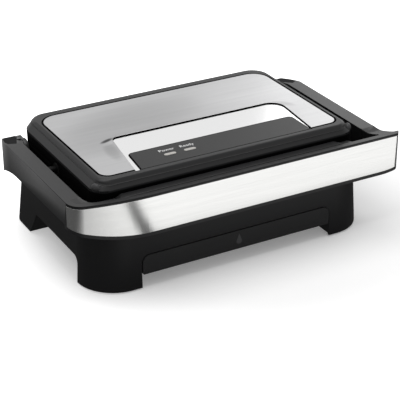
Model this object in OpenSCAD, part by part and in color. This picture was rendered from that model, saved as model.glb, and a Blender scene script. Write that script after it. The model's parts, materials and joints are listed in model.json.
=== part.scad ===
// Electric contact grill with a hinged, self-levelling lid and a pull-out drip tray.
// Millimetres. X runs to the right, Y to the back, Z up. The origin is on the surface that the
// grill stands on, midway between its four feet.

/* [Base] */
// Width over the feet
base_w = 319; // [312:1:320]
// How much narrower the base is at its rim than at its feet
base_side_lean = 6; // [2:0.5:8]
// Distance of the front wall's foot from the origin
base_front = 103; // [101:0.5:104]
// Distance of the rear wall's foot behind the origin
base_rear = 105.7; // [103:0.1:107]
// How far the front wall leans back on its way up to the rim
front_lean = 3; // [2:0.5:4]
// How far the rear wall leans forward on its way up to the rim
rear_lean = 23; // [18:0.5:24]
// Height of the rim above the surface
rim_h = 62; // [61:0.5:62.5]
// Corner radius at the front of the base
front_corner_r = 41; // [36:1:54]
// Corner radius at the back of the base
rear_corner_r = 24; // [16:1:30]
// Corner radius at the back of the rim
rear_rim_r = 8; // [6:0.5:9]
// Wall of the base moulding
wall = 2.5; // [2:0.1:3]
// Clear height under the side and rear skirts
skirt_h = 28.5; // [24:0.5:31]
// Height of the leg tops, which carry the bottom cover
leg_top_h = 37; // [36.5:0.25:38]
// Width of each leg
leg_w = 49.4; // [48:0.2:50]
// Depth of a front leg
front_leg_l = 40.5; // [36:0.5:48]
// Depth of a rear leg at the floor
rear_leg_l = 49.1; // [44:0.1:52]
// How far a rear leg's front edge leans forward at the skirt
rear_leg_lean = 17.6; // [8:0.2:22]
// Fillet between a front leg and the skirt
leg_fillet_r = 8; // [4:0.5:12]
// Radius of a foot pad
foot_r = 10; // [7:0.5:12]
// Height of a foot pad
foot_t = 3; // [2.5:0.1:4]
// How far a foot pad stands out of its leg
foot_proud = 1; // [0.5:0.1:1.5]
// Distance of the foot pads from the middle, across the width
foot_x = 134; // [130:0.5:137]
// Distance of the foot pads from the middle, front to back
foot_y = 80; // [77:0.5:82]
// Thickness of the bottom cover
cover_t = 2.5; // [2:0.1:3]

/* [Drip tray] */
// Width of the tray's front
tray_front_w = 214.4; // [210:0.2:215.2]
// Height of the tray's lower edge above the surface
tray_z = 14.7; // [13:0.1:16]
// Height of the tray's front
tray_front_h = 20.3; // [19:0.1:20.6]
// Corner radius at the top of the tray's front
tray_corner_r = 8; // [5:0.5:9]
// Thickness of the tray's front
tray_front_t = 3; // [2.5:0.1:4]
// Width of the tray's box
tray_box_w = 196; // [186:1:197]
// Length of the tray's box
tray_box_l = 122; // [110:1:130]
// Height of the tray's box
tray_box_h = 17; // [15:0.1:17.2]
// Wall of the tray's box
tray_wall = 1.8; // [1.5:0.1:2.2]
// Width of the runner flange on each side of the tray
runner_w = 4.6; // [4.2:0.1:5]

/* [Grill plates] */
// Width of the lower grill plate
plate_w = 288; // [284:1:290]
// Depth of the lower grill plate
plate_l = 152; // [146:1:154]
// Distance of the plates' middle in front of the origin
plate_fwd = 12; // [10:0.5:13]
// Thickness of a plate's slab
slab_t = 3; // [2.5:0.1:3.4]
// Height of the ribs
rib_h = 3; // [2:0.1:3.4]
// Distance between ribs
rib_pitch = 12; // [9:0.5:18]
// Width of a rib at its crest
rib_crest_w = 2.6; // [2:0.1:3.4]
// Width of a rib at its root
rib_root_w = 4.6; // [4:0.1:5.4]
// Height of the lower slab's underside
lower_slab_z = 72; // [71.5:0.1:72.5]
// Height of the upper plate's rib crests above the surface
upper_crest_z = 82.6; // [82.4:0.1:84]
// Radius of the tubular heating elements
element_r = 3.3; // [2.8:0.1:3.5]
// Spread of the heating elements' long runs, front to back
element_l = 96; // [84:1:104]
// Spread of the heating elements, side to side
element_w = 232; // [210:1:240]

/* [Handle frame] */
// Width over the two arms
arm_span = 351; // [349:0.5:353]
// Width of an arm's top face
arm_w = 15.9; // [15.5:0.1:16.1]
// Height of the arms' top faces
frame_top_z = 101; // [100.5:0.25:102]
// Height of the arms' rear ends at their top
frame_rear_z = 95.2; // [94:0.2:98]
// Where the arms begin to fall and draw in towards the back
arm_taper_y = 62; // [56:0.5:66]
// Where the arms end at the back
frame_rear_y = 93; // [92:0.25:94]
// Distance of the front face from the origin
frame_front = 105.7; // [105.3:0.1:107]
// Distance of the front bar's inner edge from the origin
bar_inner = 91; // [90.5:0.1:91.5]
// Width of the raised lip round the front bar
lip_w = 5.5; // [4:0.25:7]
// Depth of the ledge behind the lip
ledge_drop = 2.5; // [1.5:0.25:3]
// Height of the trim band's upper edge
band_top_z = 98; // [97:0.25:98.5]
// Height of the trim band's lower edge
band_low_z = 61; // [60:0.25:64]
// Thickness of the trim band
band_t = 0.8; // [0.6:0.05:1]
// Height of the lip under the trim band
low_lip_h = 3.6; // [3:0.1:4]
// Skin of the front bar
skin_t = 2.8; // [2.4:0.1:3]
// Radius of the left front corner
corner_r = 15.8; // [12:0.2:20]
// Radius of the bowed stretch before the left corner
bow_r = 286; // [240:2:340]
// Distance from the middle at which the bow and the rise of the lower edge begin
bow_start = 95; // [80:1:110]
// Radius of the rise of the lower edge at the left
rise_r = 227; // [200:1:300]
// Distance that the flared right tip reaches past the right arm
tip_reach = 16; // [12:0.5:18]
// Depth of the flared right tip, front to back
tip_l = 17; // [15:0.5:20]
// Radius of the hollow behind the flared tip
flare_r = 24; // [20:0.5:28]
// Distance of the arms' front ends, where they scoop down to the ledge, from the origin
scoop_y = 78; // [74:0.5:82]
// Length of the scoop
scoop_l = 9; // [6:0.5:12]

/* [Hinge and pivots] */
// Distance of the hinge axis behind the origin
hinge_y = 78; // [77:0.25:79]
// Height of the hinge axis
hinge_z = 86; // [85:0.25:87]
// Radius of the hinge and pivot pins
pin_r = 4; // [3.5:0.1:4.2]
// Radial running clearance of the pins
run_gap = 0.06; // [0.03:0.01:0.1]
// Distance of the lid's pivots behind the origin
pivot_y = 5; // [2:0.5:9]
// Height of the lid's pivots
pivot_z = 92; // [91.5:0.25:92.5]
// Wall of the bushes
bush_t = 2.4; // [2:0.1:3]
// Thickness of the steel hinge brackets
bracket_t = 2.5; // [2:0.1:2.8]

/* [Lid] */
// Width of the lid at its shoulder
lid_w = 294.6; // [293:0.2:295]
// Distance of the lid's front wall from the origin
lid_front = 87.5; // [87:0.1:87.6]
// Distance of the lid's rear wall behind the origin
lid_rear = 97.2; // [95:0.2:98]
// Height of the lid's lower edge
lid_low_z = 84.6; // [84.5:0.1:85.5]
// Height of the lid's top plate
lid_top_z = 114.1; // [113.5:0.1:115]
// Height of the shoulder, where the lid is at its widest
lid_shoulder_z = 105; // [104:0.25:106]
// Height of the step line round the lid
lid_step_z = 111; // [110.5:0.1:111.5]
// How much the lid's walls draw in from the shoulder to the lower edge
lid_draft = 0.6; // [0.3:0.1:1.2]
// How far the lid's sides come in from the shoulder to the step line
lid_chamfer = 6; // [4:0.25:7]
// Corner radius at the front of the lid
lid_front_r = 16; // [13:0.5:20]
// Corner radius at the back of the lid
lid_rear_r = 22; // [18:0.5:26]
// Width of the lid's top plate
top_plate_w = 270; // [268:0.5:271]
// Distance of the top plate's front edge from the origin
top_plate_front = 76; // [75:0.5:76.5]
// Distance of the top plate's rear edge behind the origin
top_plate_rear = 83; // [81:0.5:84]
// Thickness of the top plate
top_plate_t = 1; // [0.8:0.1:1.2]
// Width of the cut-out at the plate's front edge
cutout_w = 200; // [196:1:201]
// How much the cut-out's left side leans in towards its rear, as a slope
cutout_lean_left = 0.15; // [0:0.01:0.16]
// How much its right side leans out, as a slope
cutout_lean_right = 0.1; // [0:0.01:0.11]
// Radius of the cut-out's left rear corner
cutout_left_r = 8; // [3:0.5:12]
// Radius of the cut-out's right rear corner
cutout_right_r = 15; // [5:0.5:18]
// Width of the open seam between the top plate and the lid
plate_seam = 0.7; // [0.2:0.1:1]
// Distance of the cut-out's rear edge behind the origin
cutout_rear = 2; // [0:0.5:6]
// Depth of the recess under the top plate
recess_h = 1.3; // [1.1:0.1:1.8]
// Reach of the control panel's front edge to the left
panel_left = 94; // [90:0.5:95]
// Reach of the control panel to the right
panel_right = 98.6; // [94:0.1:98.7]
// How much the control panel's left side leans in towards its rear, as a slope
panel_lean = 0.12; // [0:0.01:0.14]
// Distance of the control panel's rear edge in front of the origin
panel_rear = 38.2; // [36:0.1:40]
// Width of the open seam round the control panel
panel_seam = 0.6; // [0.1:0.05:0.8]
// Length of an indicator lamp
lamp_l = 13; // [10:0.5:15]
// Width of an indicator lamp
lamp_w = 4.4; // [3.5:0.1:5]
// Place of the left lamp, to the left of the middle
lamp_left = 53.3; // [50:0.1:56]
// Distance between the two lamps
lamp_pitch = 22; // [18:0.5:26]
// Distance of the lamps in front of the origin
lamp_fwd = 58.5; // [56:0.5:60]

/* [Hidden] */
$fn = 64;

fit = 0.3;              // gap between pieces that seat in each other
eps = 0.01;             // overshoot of a cut
facet_fn = 32;          // segments of a faceted circle
half_w = base_w / 2;
deck_z = rim_h - wall;  // underside of the deck round the lower pan
front_y = -frame_front;
arm_x = arm_span / 2;   // outer face of an arm
arm_in = arm_x - arm_w; // inner face of an arm
plate_y = -plate_fwd;
cover_z = leg_top_h;
far = 400;              // longer than the whole grill
screw_head_r = 3.6;
screw_head_h = 2.4;
screw_r = 2;
screw_seat_z = 26;      // where the heads of the cover's screws seat, up inside the legs
vent_pitch = 16;
vent_w = 4;
vent_l = 26;
spout_r = 6;
spout_y = plate_y - plate_l / 2 + 9;
spout_z = cover_z + cover_t + 2;
pan_t = 0.8;            // sheet of the reflector pans
pan_deep = 11;
pan_floor_z = rim_h - pan_deep;
pan_r = 12;
pan_x = plate_w / 2 - 9;
pan_y0 = plate_y - plate_l / 2 + 17;
pan_y1 = plate_y + plate_l / 2 - 9;
bezel_x = plate_w / 2 + 7;
bezel_y0 = plate_y - plate_l / 2 - 5;
bezel_y1 = plate_y + plate_l / 2 + 5;
bezel_z = rim_h + pan_t;
bezel_front_r = 26;
bezel_rear_r = 22;     // clear of the hinge caps
post_x = plate_w / 2 - 18;  // posts that tie the plates down
post_y = 30;
post_r = 4.5;

// ---- shared outlines ----

// The flared tip makes the grill longer on the right: this puts the origin midway along the whole.
module centred() {
    translate([-tip_reach / 2, 0, 0]) children();
}

function arc(c, rx, ry, a0, a1, n) =
    [for (i = [0 : n]) let (a = a0 + (a1 - a0) * i / n) [c[0] + rx * cos(a), c[1] + ry * sin(a)]];

function reversed(list) = [for (i = [len(list) - 1 : -1 : 0]) list[i]];

// A rectangle from (x0, y0) to (x1, y1) with radius rf at its front corners and rb at its back.
module rounded(x0, x1, y0, y1, rf, rb) {
    translate([x0 + rf, y0]) square([x1 - x0 - 2 * rf, rf + eps]);
    translate([x0, y0 + rf]) square([x1 - x0, y1 - y0 - rf - rb]);
    translate([x0 + rb, y1 - rb - eps]) square([x1 - x0 - 2 * rb, rb + eps]);
    for (x = [x0 + rf, x1 - rf]) translate([x, y0 + rf]) circle(rf);
    for (x = [x0 + rb, x1 - rb]) translate([x, y1 - rb]) circle(rb);
}

module slab(x0, x1, y0, y1, rf, rb, z0, z1) {
    translate([0, 0, z0]) linear_extrude(z1 - z0) rounded(x0, x1, y0, y1, rf, rb);
}

module ring(r_out, r_in, x0, x1) {
    translate([x0, 0, 0]) rotate([0, 90, 0]) difference() {
        cylinder(r = r_out, h = x1 - x0);
        translate([0, 0, -1]) cylinder(r = r_in, h = x1 - x0 + 2);
    }
}

module rod_x(r, x0, x1) {
    translate([x0, 0, 0]) rotate([0, 90, 0]) cylinder(r = r, h = x1 - x0);
}

// ---- base ----

// How far the base's walls have leaned in at height z.
function rise(z) = (z - foot_proud) / (rim_h - foot_proud);
function side_in(z) = base_side_lean / 2 * rise(z);
function front_in(z) = front_lean * rise(z);
function rear_in(z) = rear_lean * rise(z);
function rear_r(z) = rear_corner_r + (rear_rim_r - rear_corner_r) * rise(z);

module base_slice(z, inset) {
    x = half_w - side_in(z) - inset;
    y0 = -base_front + front_in(z) + inset;
    y1 = base_rear - rear_in(z) - inset;
    translate([0, 0, z]) linear_extrude(eps)
        rounded(-x, x, y0, y1, front_corner_r - inset, rear_r(z) - inset, $fn = facet_fn * 2);
}

module base_form(z0, z1, inset) {
    hull() {
        base_slice(z0, inset);
        base_slice(z1 - eps, inset);
    }
}

// Profile of one pair of legs seen from the side, with the skirt's clear height between them.
module side_cutouts() {
    y0 = -base_front + front_leg_l;
    y1 = base_rear - rear_leg_l;
    rotate([90, 0, 90]) translate([0, 0, -far / 2]) linear_extrude(far) {
        difference() {
            polygon([[y0, 0], [y0, skirt_h], [y1 - rear_leg_lean, skirt_h], [y1, 0]]);
            translate([y0, skirt_h - leg_fillet_r]) difference() {
                square(leg_fillet_r);
                translate([leg_fillet_r, 0]) circle(leg_fillet_r);
            }
        }
    }
}

module leg_blocks() {
    y0 = -base_front + front_leg_l;
    y1 = base_rear - rear_leg_l;
    for (s = [-1, 1]) {
        x = s > 0 ? half_w - leg_w : -half_w - 1;
        translate([x, -base_front - 1, 0]) cube([leg_w + 1, front_leg_l + 1, leg_top_h]);
        translate([x, 0, 0]) rotate([90, 0, 90]) linear_extrude(leg_w + 1) polygon([[y1, 0],
            [y1 - rear_leg_lean, skirt_h], [y1 - rear_leg_lean, leg_top_h], [base_rear + 1, leg_top_h],
            [base_rear + 1, 0]]);
    }
}

module tray_opening() {
    gap = 1.1;
    x = tray_front_w / 2 + gap;
    z = tray_z + tray_front_h + 0.6;
    translate([0, -base_front + 8, 0]) rotate([90, 0, 0]) linear_extrude(20)
        rounded(-x, x, -10, z, 2, tray_corner_r + gap);
}

// Everything of the base's shell that lies below the deck: the walls, hollow inside, on solid legs.
module base_walls() {
    difference() {
        base_form(foot_proud, deck_z, 0);
        base_form(leg_top_h, deck_z + 1, wall);
        difference() {
            base_form(foot_proud - 1, leg_top_h + eps, wall);
            leg_blocks();
        }
        side_cutouts();
        tray_opening();
        translate([-half_w + leg_w, base_rear - rear_leg_l, -1])
            cube([2 * (half_w - leg_w), rear_leg_l + 1, skirt_h + 1]);
    }
}

module base_housing() {
    color("#232323") centred() difference() {
        union() {
            difference() {
                base_walls();
                for (s = [0, 1]) mirror([s, 0, 0]) translate([side_x, -far / 2, -1])
                    cube([far, far, leg_top_h + 1]);
            }
            base_form(deck_z, rim_h, 0);
        }
        slab(-pan_x - fit, pan_x + fit, pan_y0 - fit, pan_y1 + fit, pan_r + fit, pan_r + fit,
            deck_z - 1, rim_h + 1);
        translate([0, spout_y, deck_z - 1]) cylinder(r = spout_r + fit, h = wall + 2);
        for (s = [0, 1]) mirror([s, 0, 0]) translate([bracket_x - fit, bracket_y0 - fit, deck_z - 1])
            cube([bracket_t + 2 * fit, bracket_y1 - bracket_y0 + 2 * fit, wall + 2]);
        translate([inlet_x, base_rear, inlet_z]) rotate([90, 0, 0]) cylinder(r = inlet_r + 0.1, h = 40);
    }
}

side_x = half_w - leg_w - 0.6;      // the legs and side skirts lie outside this
skirt_y0 = -base_front + front_leg_l + leg_fillet_r;
skirt_y1 = base_rear - rear_leg_l - rear_leg_lean;

// The stretch of one side of the base from y0 to y1, below the leg tops; s is -1 left, 1 right.
module side_part(s, y0, y1) {
    color("#232323") centred() difference() {
        intersection() {
            base_walls();
            mirror([s < 0 ? 1 : 0, 0, 0]) translate([side_x, y0, 0]) cube([far, y1 - y0, leg_top_h]);
        }
        for (y = [-foot_y, foot_y]) translate([s * foot_x, y, 0]) {
            cylinder(r = foot_r + fit / 2, h = foot_t);
            cylinder(r = screw_head_r + 0.4, h = screw_seat_z);
            cylinder(r = screw_r + 0.1, h = leg_top_h + 1);
        }
    }
}

module front_leg_left() {
    side_part(-1, -far / 2, skirt_y0);
}

module front_leg_right() {
    side_part(1, -far / 2, skirt_y0);
}

module rear_leg_left() {
    side_part(-1, skirt_y1, far / 2);
}

module rear_leg_right() {
    side_part(1, skirt_y1, far / 2);
}

// The skirt between two legs, which follows the lean of the base's side.
module side_skirt(s) {
    x0 = half_w - side_in(skirt_h);
    x1 = half_w - side_in(leg_top_h);
    color("#232323") centred() mirror([s < 0 ? 1 : 0, 0, 0]) translate([0, skirt_y1, 0])
        rotate([90, 0, 0]) linear_extrude(skirt_y1 - skirt_y0)
            polygon([[x0, skirt_h], [x1, leg_top_h], [x1 - wall, leg_top_h], [x0 - wall, skirt_h]]);
}

module side_skirt_left() {
    side_skirt(-1);
}

module side_skirt_right() {
    side_skirt(1);
}

module base_bottom_cover() {
    x = half_w - side_in(cover_z) - wall - fit;
    y0 = -base_front + front_in(cover_z) + wall + fit;
    y1 = base_rear - rear_in(cover_z + cover_t) - wall - fit;
    color("#1d1d1d") centred() difference() {
        slab(-x, x, y0, y1, front_corner_r - wall, rear_r(cover_z) - wall, cover_z, cover_z + cover_t);
        translate([0, spout_y, cover_z - 1]) cylinder(r = spout_r + 3, h = cover_t + 2);
        for (x = [-foot_x, foot_x], y = [-foot_y, foot_y])
            translate([x, y, cover_z - 1]) cylinder(r = screw_r + 0.1, h = cover_t + 2);
        for (i = [-4 : 4], y = [-14, 30]) translate([i * vent_pitch, y, cover_z - 1]) {
            translate([-vent_w / 2, 0, 0]) cube([vent_w, vent_l, cover_t + 2]);
        }
        for (x = [terminal_x - 9, terminal_x + 9])
            translate([x, terminal_y, cover_z - 1]) cylinder(r = 1.5, h = cover_t + 2);
    }
}

module bottom_cover_screws() {
    color("#b8b8b8") centred() for (x = [-foot_x, foot_x], y = [-foot_y, foot_y]) translate([x, y, 0]) {
        difference() {
            translate([0, 0, screw_seat_z - screw_head_h]) cylinder(r = screw_head_r, h = screw_head_h);
            translate([-0.5, -2.2, screw_seat_z - screw_head_h - 1]) cube([1, 4.4, 2]);
            translate([-2.2, -0.5, screw_seat_z - screw_head_h - 1]) cube([4.4, 1, 2]);
        }
        translate([0, 0, screw_seat_z - eps])
            cylinder(r = screw_r, h = cover_z + cover_t + 2 - screw_seat_z);
    }
}

module rubber_feet() {
    color("#161616") centred() for (x = [-foot_x, foot_x], y = [-foot_y, foot_y]) translate([x, y, 0]) {
        cylinder(r1 = foot_r - 0.8, r2 = foot_r, h = foot_proud);
        translate([0, 0, foot_proud - eps]) cylinder(r = foot_r, h = foot_t - foot_proud);
    }
}

// Two angle runners under the bottom cover; the tray's flanges slide on their lower lips.
rail_lip_t = 2.2;
rail_wall = 2.2;
flange_t = 2;
flange_z = tray_z + tray_box_h - flange_t;
rail_in = tray_box_w / 2 + 0.9;
rail_out = tray_box_w / 2 + runner_w + 0.7;
rail_y0 = -base_front + 9;
rail_y1 = -base_front + tray_box_l + 6;

module tray_rail(s) {
    z0 = flange_z - 0.2 - rail_lip_t;
    w = rail_out + rail_wall - rail_in;
    l = rail_y1 - rail_y0;
    color("#202020") centred() mirror([s < 0 ? 1 : 0, 0, 0]) {
        translate([rail_in, rail_y0, z0]) cube([w, l, rail_lip_t]);
        translate([rail_out, rail_y0, z0]) cube([rail_wall, l, cover_z - z0]);
        translate([rail_in, rail_y1 - rail_wall, z0]) cube([w, rail_wall, cover_z - z0]);
    }
}

module tray_rail_left() {
    tray_rail(-1);
}

module tray_rail_right() {
    tray_rail(1);
}

module drip_tray() {
    z1 = tray_z + tray_front_h;
    x = tray_front_w / 2;
    bx = tray_box_w / 2;
    y0 = -base_front + front_in(tray_z) - 0.2;
    yb = y0 + tray_front_t - eps;
    color("#262626") centred() difference() {
        union() {
            translate([0, y0 + tray_front_t, 0]) rotate([90, 0, 0]) linear_extrude(tray_front_t)
                rounded(-x, x, tray_z, z1, 1.5, tray_corner_r);
            slab(-bx, bx, yb, y0 + tray_box_l, 1, 10, tray_z + 0.3, tray_z + tray_box_h);
            translate([-bx - runner_w, yb + 4, flange_z])
                cube([tray_box_w + 2 * runner_w, tray_box_l - 12, flange_t]);
        }
        slab(-bx + tray_wall, bx - tray_wall, yb + tray_wall, y0 + tray_box_l - tray_wall, 3, 8,
            tray_z + tray_wall, tray_z + tray_box_h + 1);
    }
}

// ---- hot parts of the base ----

module base_bezel() {
    pocket = lower_slab_z;
    color("#1b1b1b") centred() difference() {
        slab(-bezel_x, bezel_x, bezel_y0, bezel_y1, bezel_front_r, bezel_rear_r, bezel_z,
            pocket + slab_t - 0.6);
        slab(-plate_w / 2 - fit, plate_w / 2 + fit, plate_y - plate_l / 2 - fit,
            plate_y + plate_l / 2 + fit, 18 + fit, 14 + fit, pocket, pocket + slab_t + 1);
        slab(-pan_x, pan_x, pan_y0, pan_y1, pan_r, pan_r, bezel_z - 1, pocket + 1);
        translate([0, spout_y, bezel_z - 1]) cylinder(r = spout_r + fit, h = pocket);
    }
}

module lower_reflector() {
    color("#c9c9c9") centred() difference() {
        union() {
            slab(-bezel_x, bezel_x, bezel_y0, bezel_y1, bezel_front_r, bezel_rear_r, rim_h, rim_h + pan_t);
            slab(-pan_x, pan_x, pan_y0, pan_y1, pan_r, pan_r, pan_floor_z, rim_h + eps);
        }
        slab(-pan_x + pan_t, pan_x - pan_t, pan_y0 + pan_t, pan_y1 - pan_t, pan_r - pan_t, pan_r - pan_t,
            pan_floor_z + pan_t, rim_h + 1);
        translate([0, spout_y, rim_h - 1]) cylinder(r = spout_r + fit, h = 3);
        translate([0, 0, pan_floor_z - 1]) {
            at_posts() cylinder(r = screw_r + 0.1, h = pan_t + 2);
            at_cold_ends() cylinder(r = element_r + 0.6, h = pan_t + 2);
        }
    }
}

module at_posts() {
    for (x = [-post_x, post_x], y = [-post_y, post_y]) translate([x, plate_y + y, 0]) children();
}

module at_cold_ends() {
    for (y = [-3, 3]) translate([element_w / 2 - turn_r, plate_y + y * turn_r, 0]) children();
}

// A tubular element laid out as a flat snake of four runs, its cold ends turned away from the plate.
turn_r = element_l / 6;

module element(z, cold_z) {
    x0 = -element_w / 2 + turn_r;
    x1 = element_w / 2 - turn_r;
    translate([0, plate_y, z]) {
        for (y = [-3, -1, 1, 3]) translate([x0, y * turn_r, 0]) rotate([0, 90, 0])
            cylinder(r = element_r, h = x1 - x0, $fn = 48);
        for (y = [-2, 2]) translate([x0, y * turn_r, 0]) rotate([0, 0, 90]) half_turn();
        translate([x1, 0, 0]) rotate([0, 0, -90]) half_turn();
    }
    translate([0, 0, z]) at_cold_ends() {
        sphere(r = element_r, $fn = 48);
        translate([0, 0, min(cold_z - z, 0)]) cylinder(r = element_r, h = abs(cold_z - z), $fn = 48);
    }
}

module half_turn() {
    rotate_extrude(angle = 180, $fn = 64) translate([turn_r, 0]) circle(element_r, $fn = 48);
}

module lower_heating_element() {
    color("#4a4a4c") centred() element(lower_slab_z - element_r - fit, pan_floor_z - 4);
}

// Ribs with sloping flanks, running from front to back.
module ribs(z, up) {
    for (i = [0 : rib_count - 1]) {
        x = (i - (rib_count - 1) / 2) * rib_pitch;
        translate([x, plate_y + plate_l / 2 - 12, z]) rotate([90, 0, 0]) linear_extrude(plate_l - 32)
            polygon([[-rib_root_w / 2, -eps * up], [rib_root_w / 2, -eps * up],
                [rib_crest_w / 2, rib_h * up], [-rib_crest_w / 2, rib_h * up]]);
    }
}

rib_count = floor((plate_w - 26) / rib_pitch);

module lower_grill_plate() {
    y0 = plate_y - plate_l / 2;
    y1 = plate_y + plate_l / 2;
    top = lower_slab_z + slab_t;
    color("#2e2c2b") centred() difference() {
        union() {
            difference() {
                slab(-plate_w / 2, plate_w / 2, y0, y1, 18, 14, lower_slab_z, top + rib_h);
                slab(-plate_w / 2 + 3, plate_w / 2 - 3, y0 + 3, y1 - 3, 15, 11, top, top + rib_h + 1);
            }
            ribs(top, 1);
            translate([0, spout_y, spout_z]) cylinder(r = spout_r, h = lower_slab_z - spout_z + eps);
            translate([0, 0, pan_floor_z + pan_t]) at_posts()
                cylinder(r = post_r, h = lower_slab_z - pan_floor_z - pan_t + eps);
        }
        translate([0, spout_y, spout_z - 1]) cylinder(r = spout_r - 1.6, h = 60);
        slab(-plate_w / 2 + 10, plate_w / 2 - 10, y0 + 5, y0 + 13, 3, 3, top - 1, top + 1);
        translate([0, 0, pan_floor_z]) at_posts() cylinder(r = screw_r + 0.05, h = post_screw_l + 0.1);
    }
}

post_screw_l = 14;      // reach of the posts' screws above the sheet they clamp

// Screws up through the lower pan into the lower plate's posts.
module lower_plate_screws() {
    color("#a9a9a9") centred() translate([0, 0, pan_floor_z - screw_head_h]) at_posts() {
        cylinder(r = screw_head_r, h = screw_head_h);
        cylinder(r = screw_r, h = post_screw_l + screw_head_h);
    }
}

module lower_thermostat() {
    translate([0, plate_y, lower_slab_z - fit - 9]) color("#cfc9bd") centred() {
        cylinder(r = 7.5, h = 9);
        for (x = [-4, 4]) translate([x - 0.4, -3, -4]) cube([0.8, 6, 5]);
    }
}

module thermal_fuse() {
    z = pan_floor_z + pan_t + 2.7;
    translate([60, plate_y - 14, z]) color("#d9d4c7") centred() {
        rod_x(2.6, 0, 22);
        rod_x(0.6, -12, 34);
    }
}

terminal_x = 62;
terminal_y = 67;

module terminal_block() {
    at = [terminal_x - 16, terminal_y - 7, cover_z + cover_t];
    color("#e6e2d6") centred() translate(at) difference() {
        cube([32, 14, 13]);
        for (x = [6, 16, 26]) {
            translate([x, 7, 5]) cylinder(r = 2.2, h = 10);
            translate([x, -1, 4.5]) rotate([-90, 0, 0]) cylinder(r = 1.8, h = 16);
        }
    }
}

inlet_x = 90;
inlet_z = 49;
inlet_r = 8;
inlet_l = 16.5;

// Bush for a mains lead, seated in the rear wall.
module cable_inlet() {
    y_out = base_rear - rear_in(inlet_z - inlet_r - 3) + 1.5;
    translate([inlet_x, 0, inlet_z]) color("#151515") centred() rotate([-90, 0, 0]) difference() {
        union() {
            translate([0, 0, y_out - inlet_l]) cylinder(r = inlet_r, h = inlet_l);
            translate([0, 0, y_out - 1.4]) cylinder(r = inlet_r + 2.5, h = 3);
            translate([0, 0, y_out - inlet_l]) cylinder(r = inlet_r + 1.5, h = 3);
        }
        translate([0, 0, y_out - 20]) cylinder(r = 3.8, h = 40);
    }
}

// ---- hinge ----

bracket_x = half_w - 8.2;
bracket_y0 = hinge_y - 14;
bracket_y1 = hinge_y - 3.2;
bracket_r = 9;
knuckle_r = 11;
knuckle_in = bracket_x + bracket_t + 0.5;
pin_end = arm_x - 7;

module hinge_bracket(s) {
    foot_z = cover_z + cover_t;
    color("#9a9a9a") centred() mirror([s < 0 ? 1 : 0, 0, 0]) difference() {
        union() {
            translate([bracket_x, bracket_y0, foot_z])
                cube([bracket_t, bracket_y1 - bracket_y0, hinge_z - foot_z]);
            translate([bracket_x, bracket_y0, hinge_z - bracket_r])
                cube([bracket_t, hinge_y - bracket_y0, bracket_r]);
            translate([0, hinge_y, hinge_z]) rod_x(bracket_r, bracket_x, bracket_x + bracket_t);
            translate([bracket_x - 14, bracket_y0, foot_z]) cube([16, bracket_y1 - bracket_y0, bracket_t]);
        }
        translate([0, hinge_y, hinge_z]) rod_x(pin_r + 0.02, bracket_x - 1, bracket_x + bracket_t + 1);
        translate([bracket_x - 8, (bracket_y0 + bracket_y1) / 2, foot_z - 1])
            cylinder(r = screw_r + 0.1, h = bracket_t + 2);
    }
}

module hinge_bracket_left() {
    hinge_bracket(-1);
}

module hinge_bracket_right() {
    hinge_bracket(1);
}

module bracket_screws() {
    color("#b8b8b8") centred() for (s = [-1, 1])
        translate([s * (bracket_x - 8), (bracket_y0 + bracket_y1) / 2, cover_z + cover_t]) {
            translate([0, 0, bracket_t]) cylinder(r = screw_head_r, h = 2.2);
            cylinder(r = screw_r, h = bracket_t + eps);
        }
}

module hinge_pins() {
    color("#c4c4c4") centred() for (s = [0, 1]) mirror([s, 0, 0]) translate([0, hinge_y, hinge_z]) {
        rod_x(pin_r, bracket_x - 0.5, pin_end);
        rod_x(pin_r + 2, bracket_x - pin_head_t, bracket_x);
    }
}

// A black cap that hides a steel bracket above the deck, flat on top.
pin_head_t = 1;
cap_x = bracket_x - 2;
cap_top_z = hinge_z + 9.5;
cap_l = 14;             // reach of the flat top behind the hinge axis

module hinge_cap(s) {
    low = rim_h + 0.2;
    w = knuckle_in - fit - cap_x;
    color("#262626") centred() mirror([s < 0 ? 1 : 0, 0, 0]) difference() {
        union() {
            translate([cap_x, bracket_y0 - 3, low])
                cube([w, bracket_y1 - bracket_y0 + 6, hinge_z - low]);
            translate([0, hinge_y, hinge_z]) rod_x(knuckle_r, cap_x, cap_x + w);
            translate([cap_x, hinge_y, hinge_z - 3]) cube([w, cap_l, cap_top_z - hinge_z + 3]);
        }
        translate([bracket_x - 0.1, bracket_y0 - 0.1, low - 1])
            cube([bracket_t + 2, bracket_y1 - bracket_y0 + 0.2, hinge_z - low + 1]);
        translate([bracket_x - 0.1, bracket_y0 - 0.1, hinge_z - bracket_r - 0.1])
            cube([bracket_t + 2, hinge_y - bracket_y0 + 0.1, bracket_r + 0.1]);
        translate([0, hinge_y, hinge_z]) rod_x(bracket_r + 0.1, bracket_x - 0.1, knuckle_in + 1);
        translate([0, hinge_y, hinge_z])
            rod_x(pin_r + 2.2, bracket_x - pin_head_t - 0.1, bracket_x);
    }
}

module hinge_cap_left() {
    hinge_cap(-1);
}

module hinge_cap_right() {
    hinge_cap(1);
}

module hinge_bushes() {
    color("#d8d0bb") centred() for (s = [0, 1]) mirror([s, 0, 0])
        translate([0, hinge_y, hinge_z]) ring(pin_r + bush_t, pin_r + run_gap, knuckle_in, pin_end + 0.5);
}

// ---- handle frame ----

taper_r = 90;
taper_deg = asin((frame_rear_y - arm_taper_y) / taper_r);
corner_x = -arm_x + corner_r;
bow_c = [-bow_start, front_y + bow_r];
corner_y = bow_c[1] - sqrt(pow(bow_r - corner_r, 2) - pow(corner_x - bow_c[0], 2));
corner_deg = 180 + atan2(bow_c[1] - corner_y, bow_c[0] - corner_x);
tip_rx = 7;             // radius of the tip's corner, seen from above
tip_x = arm_x + tip_reach - tip_rx;
tip_rise_x = arm_x - 7.5;   // where the lower edge begins to rise to the tip
tip_rise_r = 90;
tip_end_deg = 8;
flare_y = front_y + 31.7;
flare_deg = 66;

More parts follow.
